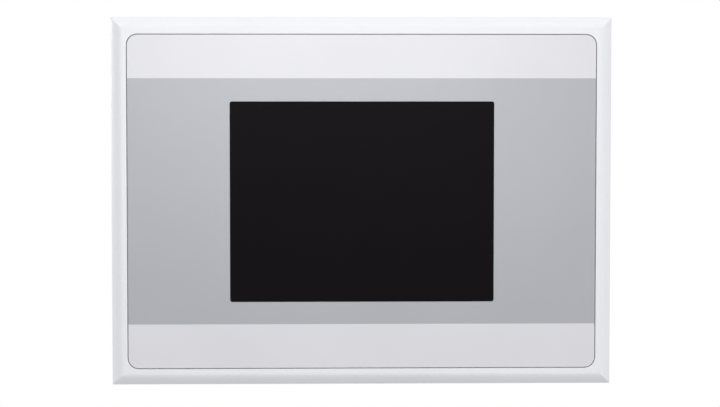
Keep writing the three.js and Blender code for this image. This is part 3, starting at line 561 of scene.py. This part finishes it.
def plated_metal(name, code, roughness, stretch=(1.0, 1.0, 1.0), mottle=0.08):
    """Rolled or turned metal under a thin plating: fine streaks, drawn out by `stretch` along
    the way it was worked, and a slow change of tone where the plating varies."""
    made, tree, shader, where = start_material(name, Metallic=1.0)
    drawn = add_node(tree, "Mapping", {"Vector": where, "Scale": stretch})
    streaks = add_node(tree, "TexNoise",
                       {"Vector": drawn, "Scale": 1 / (ROLLED_STREAK * MM), "Detail": 2.0})
    cloud = add_node(tree, "TexNoise",
                     {"Vector": where, "Scale": 1 / (PLATING_PATCH * MM), "Detail": 3.0})
    vary(shader, code, cloud, (1 - mottle, 1 + mottle), streaks,
         (roughness * 0.75, roughness * 1.3), NOISE_SPAN, relief=(streaks, 0.15, 0.01))
    return made


# dull foam, a frame with long cross streaks, dark clear glass, and a milky guide and strip
gasket_foam = open_foam("polyurethane_foam_cut", "2b2b2d", PORE, 0.1)
tinplate = plated_metal("tinplate_pressed", "c3c5c6", 0.32, (0.05, 1.0, 1.0))
cell_glass = sheet_material("liquid_crystal_glass", "4a5350", 0.08, 10.0, 1.52)
guide_acrylic = sheet_material("acrylic_frosted", "e6ebea", 0.35, 0.8, 1.49, 0.5)
strip_resist = sheet_material("white_solder_resist", "e9e9e2", 0.4, 2.0)
dressed_copy("display_foam", "display_gasket", gasket_foam, 0.08)
dressed_copy("lcd_frame", "display_frame", tinplate, 0.12)
dressed_copy("lcd_glass", "display_glass", cell_glass, 0.08)
dressed_copy("light_guide", "display_light_guide", guide_acrylic, 0.15)
dressed_copy("backlight_strip", "display_light_strip", strip_resist, 0.05)
dressed_copy("display_tail", "display_ribbon", polyimide, 0.03, 1)


# ---- Panel seal --------------------------------------------------------------
# An extruded rubber ring pressed into the flange's groove. Two soft lips stand out at the back
# and are squeezed flat against the cabinet's sheet.
LIP_VALLEY, LIP_POINTS = 0.35, 25

# matt and almost black, with a bloom that lightens it in patches
seal_rubber = open_foam("nitrile_rubber_extruded", "232426", 0.25, 0.015)
# across the back the depth falls by LIP_VALLEY away from each crest of a squared sine
across = np.linspace(0, 1, LIP_POINTS)
lips = seal_high[1] - LIP_VALLEY * (1 - np.sin(2 * np.pi * across) ** 2) ** 1.5
outwards = SEAL_WIDTH * np.concatenate([across, [1, 0]])
depth = np.concatenate([lips, [seal_low[1]] * 2])
seal_loops = rounded_loops(seal_high[0] - SEAL_WIDTH + outwards,
                           seal_high[2] - SEAL_WIDTH + outwards, SEAL_CORNER + outwards, depth)
new_piece("sheet_seal", grid_shape(seal_loops, wrap_rows=True), seal_rubber, "panel_seal")


# ---- Main board --------------------------------------------------------------
# A green glass-fibre board. Chips with tinned legs, a finned heat spreader, a moulded inductor,
# a can capacitor, a ceramic fuse, a coin cell in its holder and a sounder are soldered to it.
TRACK_GRID, FIELD_SIZE, VIA_SPACING = 0.9, 11.0, 4.0  # three times too coarse, so that they show
LEG_PITCH, LEG_WIDTH = 0.8, 0.35
# a leg's shoulder, drop and foot: from and to outwards, from and to above the chip's foot
LEG_BLOCKS = ((-0.1, 0.55, 0.45, 0.62), (0.4, 0.55, 0.02, 0.6), (0.4, 1.0, 0.02, 0.17))
# rows of (in from the wall, up from that end): the can's crimp and rim, the cell's step and face
CAN_CRIMP, CAN_RIM = ((0, 0), (0, 1.2), (0.45, 1.7), (0, 2.2)), ((0, 0), (0.7, 0), (0.9, -0.25))
CELL_STEP, CELL_FACE = ((1.2, 0), (1.0, 0.5), (0.1, 0.6), (0, 0.8)), ((0, 0), (0.8, 0))
CELL_DISH = 0.08
FUSE_CAP, FUSE_BODY_IN = 1.3, np.array([0.9, 0.12, 0.12])
CHIP_LENGTH, CHIP_WIDTH, CHIP_HEIGHT = 1.6, 0.8, 0.78
CHIP_END, CHIP_END_THICK, CHIP_BODY_IN = 0.3, 0.02, 0.25
CHIP_ROWS, CHIP_COUNT, CHIP_STEP, CHIP_MIDDLE = (-10.0, -13.5, 30.5), 10, 3.6, 2.2
SOLDER = 0.02


def solder_resist(name, code, track, via):
    """Glass-fibre laminate under green resist. Copper tracks show as paler lines TRACK_GRID mm
    apart that run one way in one field and the other way in the next; tinned vias are dots."""
    made, tree, shader, where = start_material(name, IOR=1.55, Roughness=0.32, Coat_Weight=0.3,
                                               Coat_Roughness=0.15)
    flat = add_node(tree, "Mapping", {"Vector": where, "Rotation": (math.radians(90), 0.0, 0.0)})
    fields = add_node(tree, "TexVoronoi", {"Vector": flat, "Scale": 1 / (FIELD_SIZE * MM)},
                      voronoi_dimensions="2D", distance="CHEBYCHEV")
    drawn_lots = add_node(tree, "SeparateColor", {0: fields.outputs["Color"]}).outputs
    parts = add_node(tree, "SeparateXYZ", {0: flat}).outputs
    upright = add_node(tree, "Math", {0: drawn_lots[0], 1: 0.5}, operation="GREATER_THAN")
    along = add_node(tree, "Mix", {0: upright, 2: parts["X"], 3: parts["Y"]}, data_type="FLOAT")
    steps = add_node(tree, "Math", {0: along, 1: 1 / (TRACK_GRID * MM)}, operation="MULTIPLY")
    phase = add_node(tree, "Math", {0: steps, 1: 1.0}, operation="FLOORED_MODULO")
    line = add_node(tree, "Math", {0: phase, 1: 0.34}, operation="LESS_THAN")
    laid = add_node(tree, "Math", {0: drawn_lots[1], 1: 0.35}, operation="GREATER_THAN")
    tracks = add_node(tree, "Math", {0: line, 1: laid}, operation="MULTIPLY")
    dots = add_node(tree, "TexVoronoi",
                    {"Vector": flat, "Scale": 1 / (VIA_SPACING * MM), "Randomness": 0.85},
                    voronoi_dimensions="2D")
    is_via = add_node(tree, "Math", {0: dots, 1: 0.1}, operation="LESS_THAN")
    green = add_node(tree, "Mix",
                     {0: tracks, 6: hex_colour(code), 7: hex_colour(track)}, data_type="RGBA")
    colour = add_node(tree, "Mix", {0: is_via, 6: green, 7: hex_colour(via)}, data_type="RGBA")
    bump = add_node(tree, "Bump", {"Height": tracks, "Strength": 0.3, "Distance": 0.03 * MM})
    fill_inputs(shader, {"Base Color": colour, "Metallic": is_via, "Normal": bump})
    return made


def bar(low, high, radius=0.05, edge=0.03):
    """A block between two corners, its upright edges rounded by radius and the rest by edge."""
    low, high = np.asarray(low, float), np.asarray(high, float)
    half, middle = (high - low) / 2, (high + low) / 2
    points, quads = plate(half[0], half[2], min(radius, half[0] * 0.9, half[2] * 0.9),
                          low[1], high[1], min(edge, half[1] * 0.9), lead=0.0)
    return points + [middle[0], 0, middle[2]], quads


def bar_row(low, high, count, step, radius=0.05, edge=0.03):
    """Equal bars `step` apart, centred on the one between low and high."""
    points, quads = bar(low, high, radius, edge)
    return [(points + np.multiply(step, k - (count - 1) / 2), quads) for k in range(count)]


def leg_row(node, side, count):
    """Gull-wing legs down one side of a chip, LEG_PITCH apart."""
    low, high = node_box(node)
    edge = high[0] if side > 0 else low[0]
    z0, z1 = (low[2] + high[2] - LEG_WIDTH) / 2, (low[2] + high[2] + LEG_WIDTH) / 2
    shapes = []
    for near, far, under, over in LEG_BLOCKS:
        x0, x1 = sorted((edge + side * near, edge + side * far))
        shapes += bar_row((x0, low[1] + under, z0), (x1, low[1] + over, z1), count,
                          (0, 0, LEG_PITCH))
    return shapes


def lathe_line(radius, low, high, edge, foot=((0, 0),), top=((0, 0),), dish=0.0, steps=4):
    """The line that a solid is turned from: out from the axis, up the wall and back in, with
    corners rounded by `edge`. Rows of foot and top are (in from the wall, up from that end),
    and the middle of the top lies `dish` lower."""
    foot = [(radius - inwards, low + up) for inwards, up in foot]
    top = [(radius - inwards, high + up) for inwards, up in top]
    return soften([(0, foot[0][1]), *foot, *top, (0, top[-1][1] - dish)], edge, steps)


def add_detail(name, shapes, finish, node, slot=None):
    """Shapes that ride on a CAD node as one piece without standing for it."""
    new_piece(name, together(shapes), finish, node, stands_for=False, slot=slot)


# glossy green resist, dull black packages and mouldings, soft grey tin that darkens along
# each leg, warm gold, brushed aluminium, bright nickel and an off-white fired body
board_laminate = solder_resist("glass_fibre_solder_resist", "1c5434", "256641", "c9ccc8")
epoxy_black = moulded_plastic("epoxy_transfer_moulded", "1d1e20", 0.48, 0.2, 0.006, mottle=0.06)
black_nylon = moulded_plastic("black_nylon_moulded", "1f2022", 0.5, 0.3, 0.01, mottle=0.06)
tinned = plated_metal("tin_plated_bronze", "d2d3d1", 0.28, (1.0, 0.1, 1.0))
gold_plate = plated_metal("gold_plated_bronze", "e3bd62", 0.22, (1.0, 1.0, 0.1))
satin_aluminium = plated_metal("aluminium_extruded_satin", "c9ccd0", 0.4, (1.0, 0.05, 1.0))
bright_nickel = plated_metal("nickel_plated_steel", "cfcfcb", 0.2, mottle=0.04)
ceramic_white = sheet_material("steatite_ceramic_fired", "e2dccd", 0.5, 1.5)
dressed_copy("main_board", "circuit_board", board_laminate, 0.08, 2)
dressed_copy("processor", "processor_package", epoxy_black, 0.15)
dressed_copy("heat_spreader", "finned_spreader", satin_aluminium, 0.15)
dressed_copy("memory_chip", "memory_package", epoxy_black, 0.12)
dressed_copy("flash_chip", "flash_package", epoxy_black, 0.12)
for chip, count in (("memory_chip", 13), ("flash_chip", 20)):
    add_detail(f"{chip}_legs", leg_row(chip, -1, count) + leg_row(chip, 1, count), tinned, chip,
               "connector_shell")
dressed_copy("power_inductor", "moulded_inductor", epoxy_black, 0.6, 4)
dressed_copy("cell_holder", "coin_cell_holder", black_nylon, 0.25)
dressed_copy("sounder", "piezo_sounder", black_nylon, 0.3)
dressed_copy("ctrl_switch", "push_switch_body", black_nylon, 0.15)
dressed_copy("card_socket", "card_cage", tinned, 0.12)

for node, name, finish, edge, foot, top, dish, sides in (
        ("bulk_capacitor", "can_capacitor", satin_aluminium, 0.3, CAN_CRIMP, CAN_RIM, 0.0, 48),
        ("coin_cell", "lithium_cell", bright_nickel, 0.2, CELL_STEP, CELL_FACE, CELL_DISH, 64)):
    low, high = node_box(node)
    line = lathe_line((high[0] - low[0]) / 2, low[1], high[1], edge, foot, top, dish)
    axis_at = (low + high) / 2 * [1, 0, 1]
    new_piece(name, turned(line, axis_at, sides=sides), finish, node)

fuse_low, fuse_high = node_box("fuse")
new_piece("fuse_body", bar(fuse_low + FUSE_BODY_IN, fuse_high - FUSE_BODY_IN, 0.2, 0.15),
          ceramic_white, "fuse")
add_detail("fuse_caps", [
    bar(fuse_low, (fuse_low[0] + FUSE_CAP, *fuse_high[1:]), 0.2, 0.2),
    bar((fuse_high[0] - FUSE_CAP, *fuse_low[1:]), fuse_high, 0.2, 0.2),
], tinned, "fuse", "connector_shell")

chip_y = board_high[1] + SOLDER
chip_bodies, chip_ends = [], []
for z in CHIP_ROWS:
    half_x, half_z = CHIP_LENGTH / 2 - CHIP_BODY_IN, CHIP_WIDTH / 2
    chip_bodies += bar_row((CHIP_MIDDLE - half_x, chip_y, z - half_z),
                           (CHIP_MIDDLE + half_x, chip_y + CHIP_HEIGHT, z + half_z),
                           CHIP_COUNT, (CHIP_STEP, 0, 0), edge=0.05)
    half_z += CHIP_END_THICK
    for x in (CHIP_MIDDLE - CHIP_LENGTH / 2, CHIP_MIDDLE + CHIP_LENGTH / 2 - CHIP_END):
        chip_ends += bar_row((x, chip_y, z - half_z),
                             (x + CHIP_END, chip_y + CHIP_HEIGHT + CHIP_END_THICK, z + half_z),
                             CHIP_COUNT, (CHIP_STEP, 0, 0), edge=0.05)
add_detail("chip_capacitors", chip_bodies, ceramic_white, "main_board", "fuse_ceramic")
add_detail("chip_capacitor_ends", chip_ends, tinned, "main_board", "connector_shell")


# ---- Connectors in the bay ---------------------------------------------------
# Data sockets folded from tinned sheet stand in the bay's roof, with gold contacts inside. The
# serial connector has a drawn shell, nine turned pins and two hexagonal jackscrews.
JACK_CONTACTS, JACK_PITCH, JACK_WIRE = 8, 1.02, 0.2
JACK_MOUTH = 2.2  # from the jack's floor to its mouth
JACK_BEND = ((0.25, 1.0), (0.3, 2.2), (2.6, 9.0), (3.1, 11.5))  # (off the floor, inwards)
LENS_OFFSET, LENS_HALF = 6.9, 0.8
LENS_FROM, LENS_TO = (3.4, -0.06), (1.2, 1.0)  # (down from the roof, inwards)
TONGUE_PLACE = 0.56  # height of the tongue's face as a share of the socket's
TONGUE_IN, TONGUE_FROM, TONGUE_TO, TONGUE_LIP = 0.9, 1.1, 7.8, 0.03
CONTACT_FROM, CONTACT_TO, CONTACT_SUNK, CONTACT_PROUD = 1.6, 7.5, 0.05, 0.08
BUS_SOCKETS = (  # CAD node, contacts, count, pitch, width, thickness of the tongue
    ("usb_a_socket", "bus_contacts", 4, 2.3, 1.0, 1.9),
    ("usb_mini_socket", "small_bus_contacts", 5, 0.8, 0.4, 0.9),
)
PIN_PITCH, PIN_ROW = 2.77, 2.84
PIN_RADIUS, PIN_LENGTH, PIN_TIP, PIN_SUNK = 0.53, 4.6, 0.35, 0.05


def wire(path, radius, sides=8):
    """A round wire along a bent line that keeps to one X. Each ring lies square to the line,
    and both ends are closed."""
    path = np.asarray(path, float)
    along = np.gradient(path, axis=0)
    along /= np.linalg.norm(along, axis=1)[:, None]
    side = np.array([1.0, 0.0, 0.0])
    up = np.cross(along, side)
    angle = np.arange(sides) * 2 * np.pi / sides
    rings = (path[:, None] + radius * (np.cos(angle)[None, :, None] * side
                                       + np.sin(angle)[None, :, None] * up[:, None]))
    ends = [np.broadcast_to(path[k], rings[:1].shape[1:]) for k in (0, -1)]
    return grid_shape(np.stack([ends[0], *rings, ends[1]]))


# clear tinted lenses that glow a little at their edges
lens_amber = sheet_material("polycarbonate_lens_amber", "d89a3a", 0.2, 1.0, 1.58, 0.4)
lens_green = sheet_material("polycarbonate_lens_green", "5fae5a", 0.2, 1.0, 1.58, 0.4)
dressed_copy("network_jack", "network_socket", tinned, 0.15)
jack_low, jack_high = node_box("network_jack")
jack_x = (jack_low[0] + jack_high[0]) / 2
mouth_y = jack_low[1] + JACK_MOUTH
bend = soften([(0, mouth_y + up, jack_low[2] + inwards) for up, inwards in JACK_BEND], 1.0)
row_x = jack_x + (np.arange(JACK_CONTACTS) - (JACK_CONTACTS - 1) / 2) * JACK_PITCH
add_detail("network_contacts", [wire(bend + [x, 0, 0], JACK_WIRE) for x in row_x],
           gold_plate, "network_jack")
for name, side, finish in (("link_lens", -1, lens_green), ("traffic_lens", 1, lens_amber)):
    x = jack_x + side * LENS_OFFSET
    lens = bar((x - LENS_HALF, jack_high[1] - LENS_FROM[0], jack_low[2] + LENS_FROM[1]),
               (x + LENS_HALF, jack_high[1] - LENS_TO[0], jack_low[2] + LENS_TO[1]), 0.15, 0.1)
    add_detail(name, [lens], finish, "network_jack", "acrylic")

dressed_copy("usb_a_socket", "serial_bus_socket", tinned, 0.12)
dressed_copy("usb_mini_socket", "small_bus_socket", tinned, 0.1)
for node, name, count, pitch, width, thick in BUS_SOCKETS:
    low, high = node_box(node)
    x, y = (low[0] + high[0]) / 2, low[1] + (high[1] - low[1]) * TONGUE_PLACE + thick / 2
    contacts = bar_row((x - width / 2, y - CONTACT_SUNK, low[2] + CONTACT_FROM),
                       (x + width / 2, y + CONTACT_PROUD, low[2] + CONTACT_TO),
                       count, (pitch, 0, 0), 0.1, 0.05)
    tongue = bar((low[0] + TONGUE_IN, y - thick - TONGUE_LIP, low[2] + TONGUE_FROM),
                 (high[0] - TONGUE_IN, y + TONGUE_LIP, low[2] + TONGUE_TO), 0.3, 0.15)
    add_detail(name, contacts, gold_plate, node)
    add_detail(f"{name}_tongue", [tongue], black_nylon, node, "black_moulding")

dressed_copy("serial_shell", "serial_shroud", bright_nickel, 0.2)
dressed_copy("serial_insert", "serial_moulding", black_nylon, 0.12)
insert_low, insert_high = node_box("serial_insert")
serial_x, serial_y = (insert_low[:2] + insert_high[:2]) / 2
pin_line = lathe_line(PIN_RADIUS, insert_low[2] - PIN_SUNK, insert_low[2] + PIN_LENGTH, PIN_TIP)
add_detail("serial_pins", [
    turned(pin_line, (serial_x + (k - (count - 1) / 2) * PIN_PITCH, serial_y + y, 0), 2, 16)
    for count, y in ((5, -PIN_ROW / 2), (4, PIN_ROW / 2)) for k in range(count)
], gold_plate, "serial_insert", "connector_shell")
for n in (1, 2):
    dressed_copy(f"jackscrew_{n}", f"hex_standoff_{n}", bright_nickel, 0.15)


# ---- Rear housing, label and long screws -------------------------------------
# A grey moulded housing with ventilation slots and the plug bay. Four long cross-head screws
# draw it, the board and the front frame together; a blank rating label lies in its recess.
HOUSING_EDGE = 0.35
HOUSING_GRAIN = 0.45  # coarser than the real grain, which wouldn't show
LABEL_MARGIN, RULE_WIDTH, RULE_PITCH = 2.0, 0.25, 7.0


def ruled_label(name, code, ink):
    """Satin polyester label with nothing on it but a printed border and ruled lines."""
    made, tree, shader, where = start_material(name, IOR=1.5, Roughness=0.4)
    reach = node_box("rating_label")[1] - LABEL_MARGIN
    place = add_node(tree, "SeparateXYZ", {0: where}).outputs
    within, border = [], []
    for socket, edge in (("X", reach[0]), ("Z", reach[2])):
        out = add_node(tree, "Math", {0: place[socket]}, operation="ABSOLUTE")
        within.append(add_node(tree, "Math", {0: out, 1: edge * MM}, operation="LESS_THAN"))
        border.append(add_node(tree, "Math", {0: out, 1: (edge - RULE_WIDTH) * MM},
                               operation="GREATER_THAN"))
    steps = add_node(tree, "Math", {0: place["Z"], 1: 1 / (RULE_PITCH * MM)}, operation="MULTIPLY")
    phase = add_node(tree, "Math", {0: steps, 1: 1.0}, operation="FLOORED_MODULO")
    rule = add_node(tree, "Math", {0: phase, 1: RULE_WIDTH / RULE_PITCH}, operation="LESS_THAN")
    edges = add_node(tree, "Math", {0: border[0], 1: border[1]}, operation="MAXIMUM")
    lines = add_node(tree, "Math", {0: edges, 1: rule}, operation="MAXIMUM")
    inside = add_node(tree, "Math", {0: within[0], 1: within[1]}, operation="MULTIPLY")
    drawn = add_node(tree, "Math", {0: lines, 1: inside}, operation="MULTIPLY")
    colour = add_node(tree, "Mix", {0: drawn, 6: hex_colour(code), 7: hex_colour(ink)},
                      data_type="RGBA")
    fill_inputs(shader, {"Base Color": colour})
    return made


# an even grey with a visible grain, cool bright zinc, and a satin white label
housing_grey = moulded_plastic("abs_polycarbonate_moulded", "a3a6aa", 0.5, HOUSING_GRAIN, 0.02,
                               mottle=0.03)
zinc_plate = plated_metal("steel_zinc_plated", "c7cacd", 0.26, mottle=0.06)
label_film = ruled_label("polyester_label", "e8e8e4", "8b8f94")
dressed_copy("rear_housing", "housing_shell", housing_grey, HOUSING_EDGE)
dressed_copy("rating_label", "rating_plate", label_film, 0.05, 2)
for n in (1, 2, 3, 4):
    dressed_copy(f"housing_screw_{n}", f"long_screw_{n}", zinc_plate, 0.1)


# ---- Memory card and control button ------------------------------------------
# A black memory card with gold contact pads slides in from one side. On the other side the
# rounded cap of the control button ends flush in its hole.
PAD_COUNT, PAD_PITCH, PAD_HALF = 8, 2.5, 0.9
PAD_FROM, PAD_TO, PAD_SUNK, PAD_PROUD = 7.0, 2.0, 0.2, 0.03
GRIP_COUNT, GRIP_PITCH, GRIP_HALF = 3, 1.1, 8.0
GRIP_FROM, GRIP_TO, GRIP_SUNK, GRIP_PROUD = 2.0, 2.6, 0.2, 0.12
FLANGE_THICK, STEM_IN, CAP_FLAT, CAP_DISH = 1.2, 0.45, 0.6, 0.25

# dull black with a fine grain, and a dark grey a little glossier from fingers
card_black = moulded_plastic("black_pbt_moulded", "26282b", 0.42, 0.25, 0.008, mottle=0.06)
button_grey = moulded_plastic("grey_nylon_moulded", "4b4e52", 0.45, 0.25, 0.008, mottle=0.06)
dressed_copy("memory_card", "storage_card", card_black, 0.18)
card_low, card_high = node_box("memory_card")
pads = bar_row((card_high[0] - PAD_FROM, card_low[1] - PAD_PROUD, -PAD_HALF),
               (card_high[0] - PAD_TO, card_low[1] + PAD_SUNK, PAD_HALF),
               PAD_COUNT, (0, 0, PAD_PITCH), 0.2, 0.02)
grip = bar_row((card_low[0] + GRIP_FROM, card_high[1] - GRIP_SUNK, -GRIP_HALF),
               (card_low[0] + GRIP_TO, card_high[1] + GRIP_PROUD, GRIP_HALF),
               GRIP_COUNT, (GRIP_PITCH, 0, 0), 0.25, 0.1)
add_detail("card_contacts", pads, gold_plate, "memory_card", "connector_shell")
add_detail("card_grip", grip, card_black, "memory_card")

button_low, button_high = node_box("ctrl_button")
flange_r = (button_high[1] - button_low[1]) / 2
rim_in = flange_r - (flange_r - STEM_IN) * CAP_FLAT
button_line = lathe_line(flange_r, button_low[0], button_high[0], 0.25,
                         foot=((0, 0), (0, FLANGE_THICK), (STEM_IN, FLANGE_THICK)),
                         top=((STEM_IN, 0), (rim_in, 0)), dish=CAP_DISH, steps=6)
axis_at = (button_low + button_high) / 2 * [0, 1, 1]
new_piece("button_cap", turned(button_line, axis_at, axis=0, sides=48), button_grey, "ctrl_button")


# ---- Power header, plug and terminal screws ----------------------------------
# Green polyamide with square tinned pins. The plug pulls out downwards with its wires, which
# three slotted screws clamp from behind.
PLUG_POLES, PLUG_PITCH = 3, 5.08
PIN_SIZE, PIN_FROM, PIN_TO = 1.04, 1.65, 9.2

# a saturated satin green, slightly uneven as glass-filled mouldings are
terminal_green = moulded_plastic("green_polyamide_moulded", "2f8a52", 0.4, 0.3, 0.01, mottle=0.05)
dressed_copy("power_header", "supply_header", terminal_green, 0.2)
dressed_copy("power_plug", "supply_plug", terminal_green, 0.25)
header_low, header_high = node_box("power_header")
header_x, header_y = (header_low[:2] + header_high[:2]) / 2
supply_pins = bar_row(
    (header_x - PIN_SIZE / 2, header_y - PIN_SIZE / 2, header_low[2] + PIN_FROM),
    (header_x + PIN_SIZE / 2, header_y + PIN_SIZE / 2, header_low[2] + PIN_TO),
    PLUG_POLES, (PLUG_PITCH, 0, 0), 0.15, 0.15)
add_detail("supply_pins", supply_pins, tinned, "power_header", "connector_shell")
for n in (1, 2, 3):
    dressed_copy(f"terminal_screw_{n}", f"wire_clamp_screw_{n}", zinc_plate, 0.08)


# ---- Clamps ------------------------------------------------------------------
# Each pressed steel bracket hooks into the housing's side wall. A slotted screw with an M4
# thread runs through it and presses a rubber-faced foot on the cabinet's sheet.
THREAD_PITCH, THREAD_DEPTH = 0.7, 0.35
SHANK_RADIUS, SHANK_FROM, SHANK_ROOT = 2.0, 1.5, 0.2
TIP_RADIUS, TIP_LENGTH, TIP_EDGE = 1.3, 1.8, 0.3
HEAD_HEIGHT, SLOT_DEPTH, SLOT_WIDTH = 2.6, 1.2, 1.0
FOOT_RINGS = ((0.65, 0.2), (0.5, 0), (0.35, 0.2), (0.2, 0), (0, 0))  # (share of radius, up)
FOOT_BORE, FOOT_BORE_DEPTH = 1.75, 1.4

# duller than the screws, with streaks across the bend; the feet are matt black
bracket_steel = plated_metal("steel_pressed_nickel_plated", "bfc2c4", 0.34, (1.0, 1.0, 0.08))
foot_rubber = open_foam("neoprene_moulded", "2a2b2d", 0.3, 0.01)


def threaded(radius, low, high, centre, sides=24, steps=8):
    """A threaded shank along Y. The radius falls by THREAD_DEPTH times a triangle wave of
    height over pitch minus angle over a full turn, and the wave fades out at both ends."""
    rows = int((high - low) / THREAD_PITCH * steps)
    height = np.linspace(low, high, rows)[:, None]
    angle = np.arange(sides)[None, :] * 2 * np.pi / sides
    wave = np.abs(((height / THREAD_PITCH - angle / (2 * np.pi)) % 1) * 2 - 1)
    fade = np.clip(np.minimum(height - low, high - height) / THREAD_PITCH, 0, 1)
    r = radius - THREAD_DEPTH * wave * fade
    grid = np.stack(np.broadcast_arrays(r * np.cos(angle), height, r * np.sin(angle)), -1) + centre
    ends = [np.broadcast_to(np.add(centre, (0, y, 0)), grid[:1].shape[1:]) for y in (low, high)]
    return grid_shape(np.stack([ends[0], *grid, ends[1]]))


def half_head(radius, gap, low, high, centre, side, edge=0.25, arc=24):
    """One half of a slotted head: a circle cut off at half the slot's width, made thick, its
    upper edge rounded."""
    reach = np.arccos(gap / radius)
    turn = np.linspace(-reach, reach, arc)
    outline = np.stack([radius * np.cos(turn), radius * np.sin(turn)], -1)
    middle = outline.mean(0)
    levels = [(0, low), (1, low), (1, high - edge), (1 - edge / radius * 0.4, high - edge * 0.4),
              (1 - edge / radius, high), (0, high)]
    rings = [(middle + (outline - middle) * size, y) for size, y in levels]
    grid = np.stack([np.column_stack([side * ring[:, 0], np.full(arc, y), ring[:, 1]])
                     for ring, y in rings])
    return grid_shape(grid + centre)


for n in (1, 2, 3, 4):
    dressed_copy(f"clamp_bracket_{n}", f"clamp_bridge_{n}", bracket_steel, 0.3)
    low, high = node_box(f"clamp_foot_{n}")
    r = (high[0] - low[0]) / 2
    axis_at = (low + high) / 2 * [1, 0, 1]
    foot_line = lathe_line(r, low[1], high[1], 0.2, [(r * k, up) for k, up in FOOT_RINGS],
                           ((0, 0), (r - FOOT_BORE, 0), (r - FOOT_BORE, -FOOT_BORE_DEPTH)))
    new_piece(f"pressure_foot_{n}", turned(foot_line, axis_at, sides=40), foot_rubber,
              f"clamp_foot_{n}")

    low, high = node_box(f"clamp_screw_{n}")
    r = (high[0] - low[0]) / 2
    head_low, slot_y = high[1] - HEAD_HEIGHT, high[1] - SLOT_DEPTH
    tip = turned(lathe_line(TIP_RADIUS, low[1], low[1] + TIP_LENGTH, TIP_EDGE), axis_at, sides=24)
    shank = threaded(SHANK_RADIUS, low[1] + SHANK_FROM, head_low + SHANK_ROOT, axis_at)
    rim = turned(lathe_line(r, head_low, slot_y, 0.2), axis_at, sides=48)
    halves = [half_head(r, SLOT_WIDTH / 2, slot_y - 0.05, high[1], axis_at, side)
              for side in (-1, 1)]
    new_piece(f"slotted_screw_{n}", together([tip, shank, rim, *halves]), zinc_plate,
              f"clamp_screw_{n}")
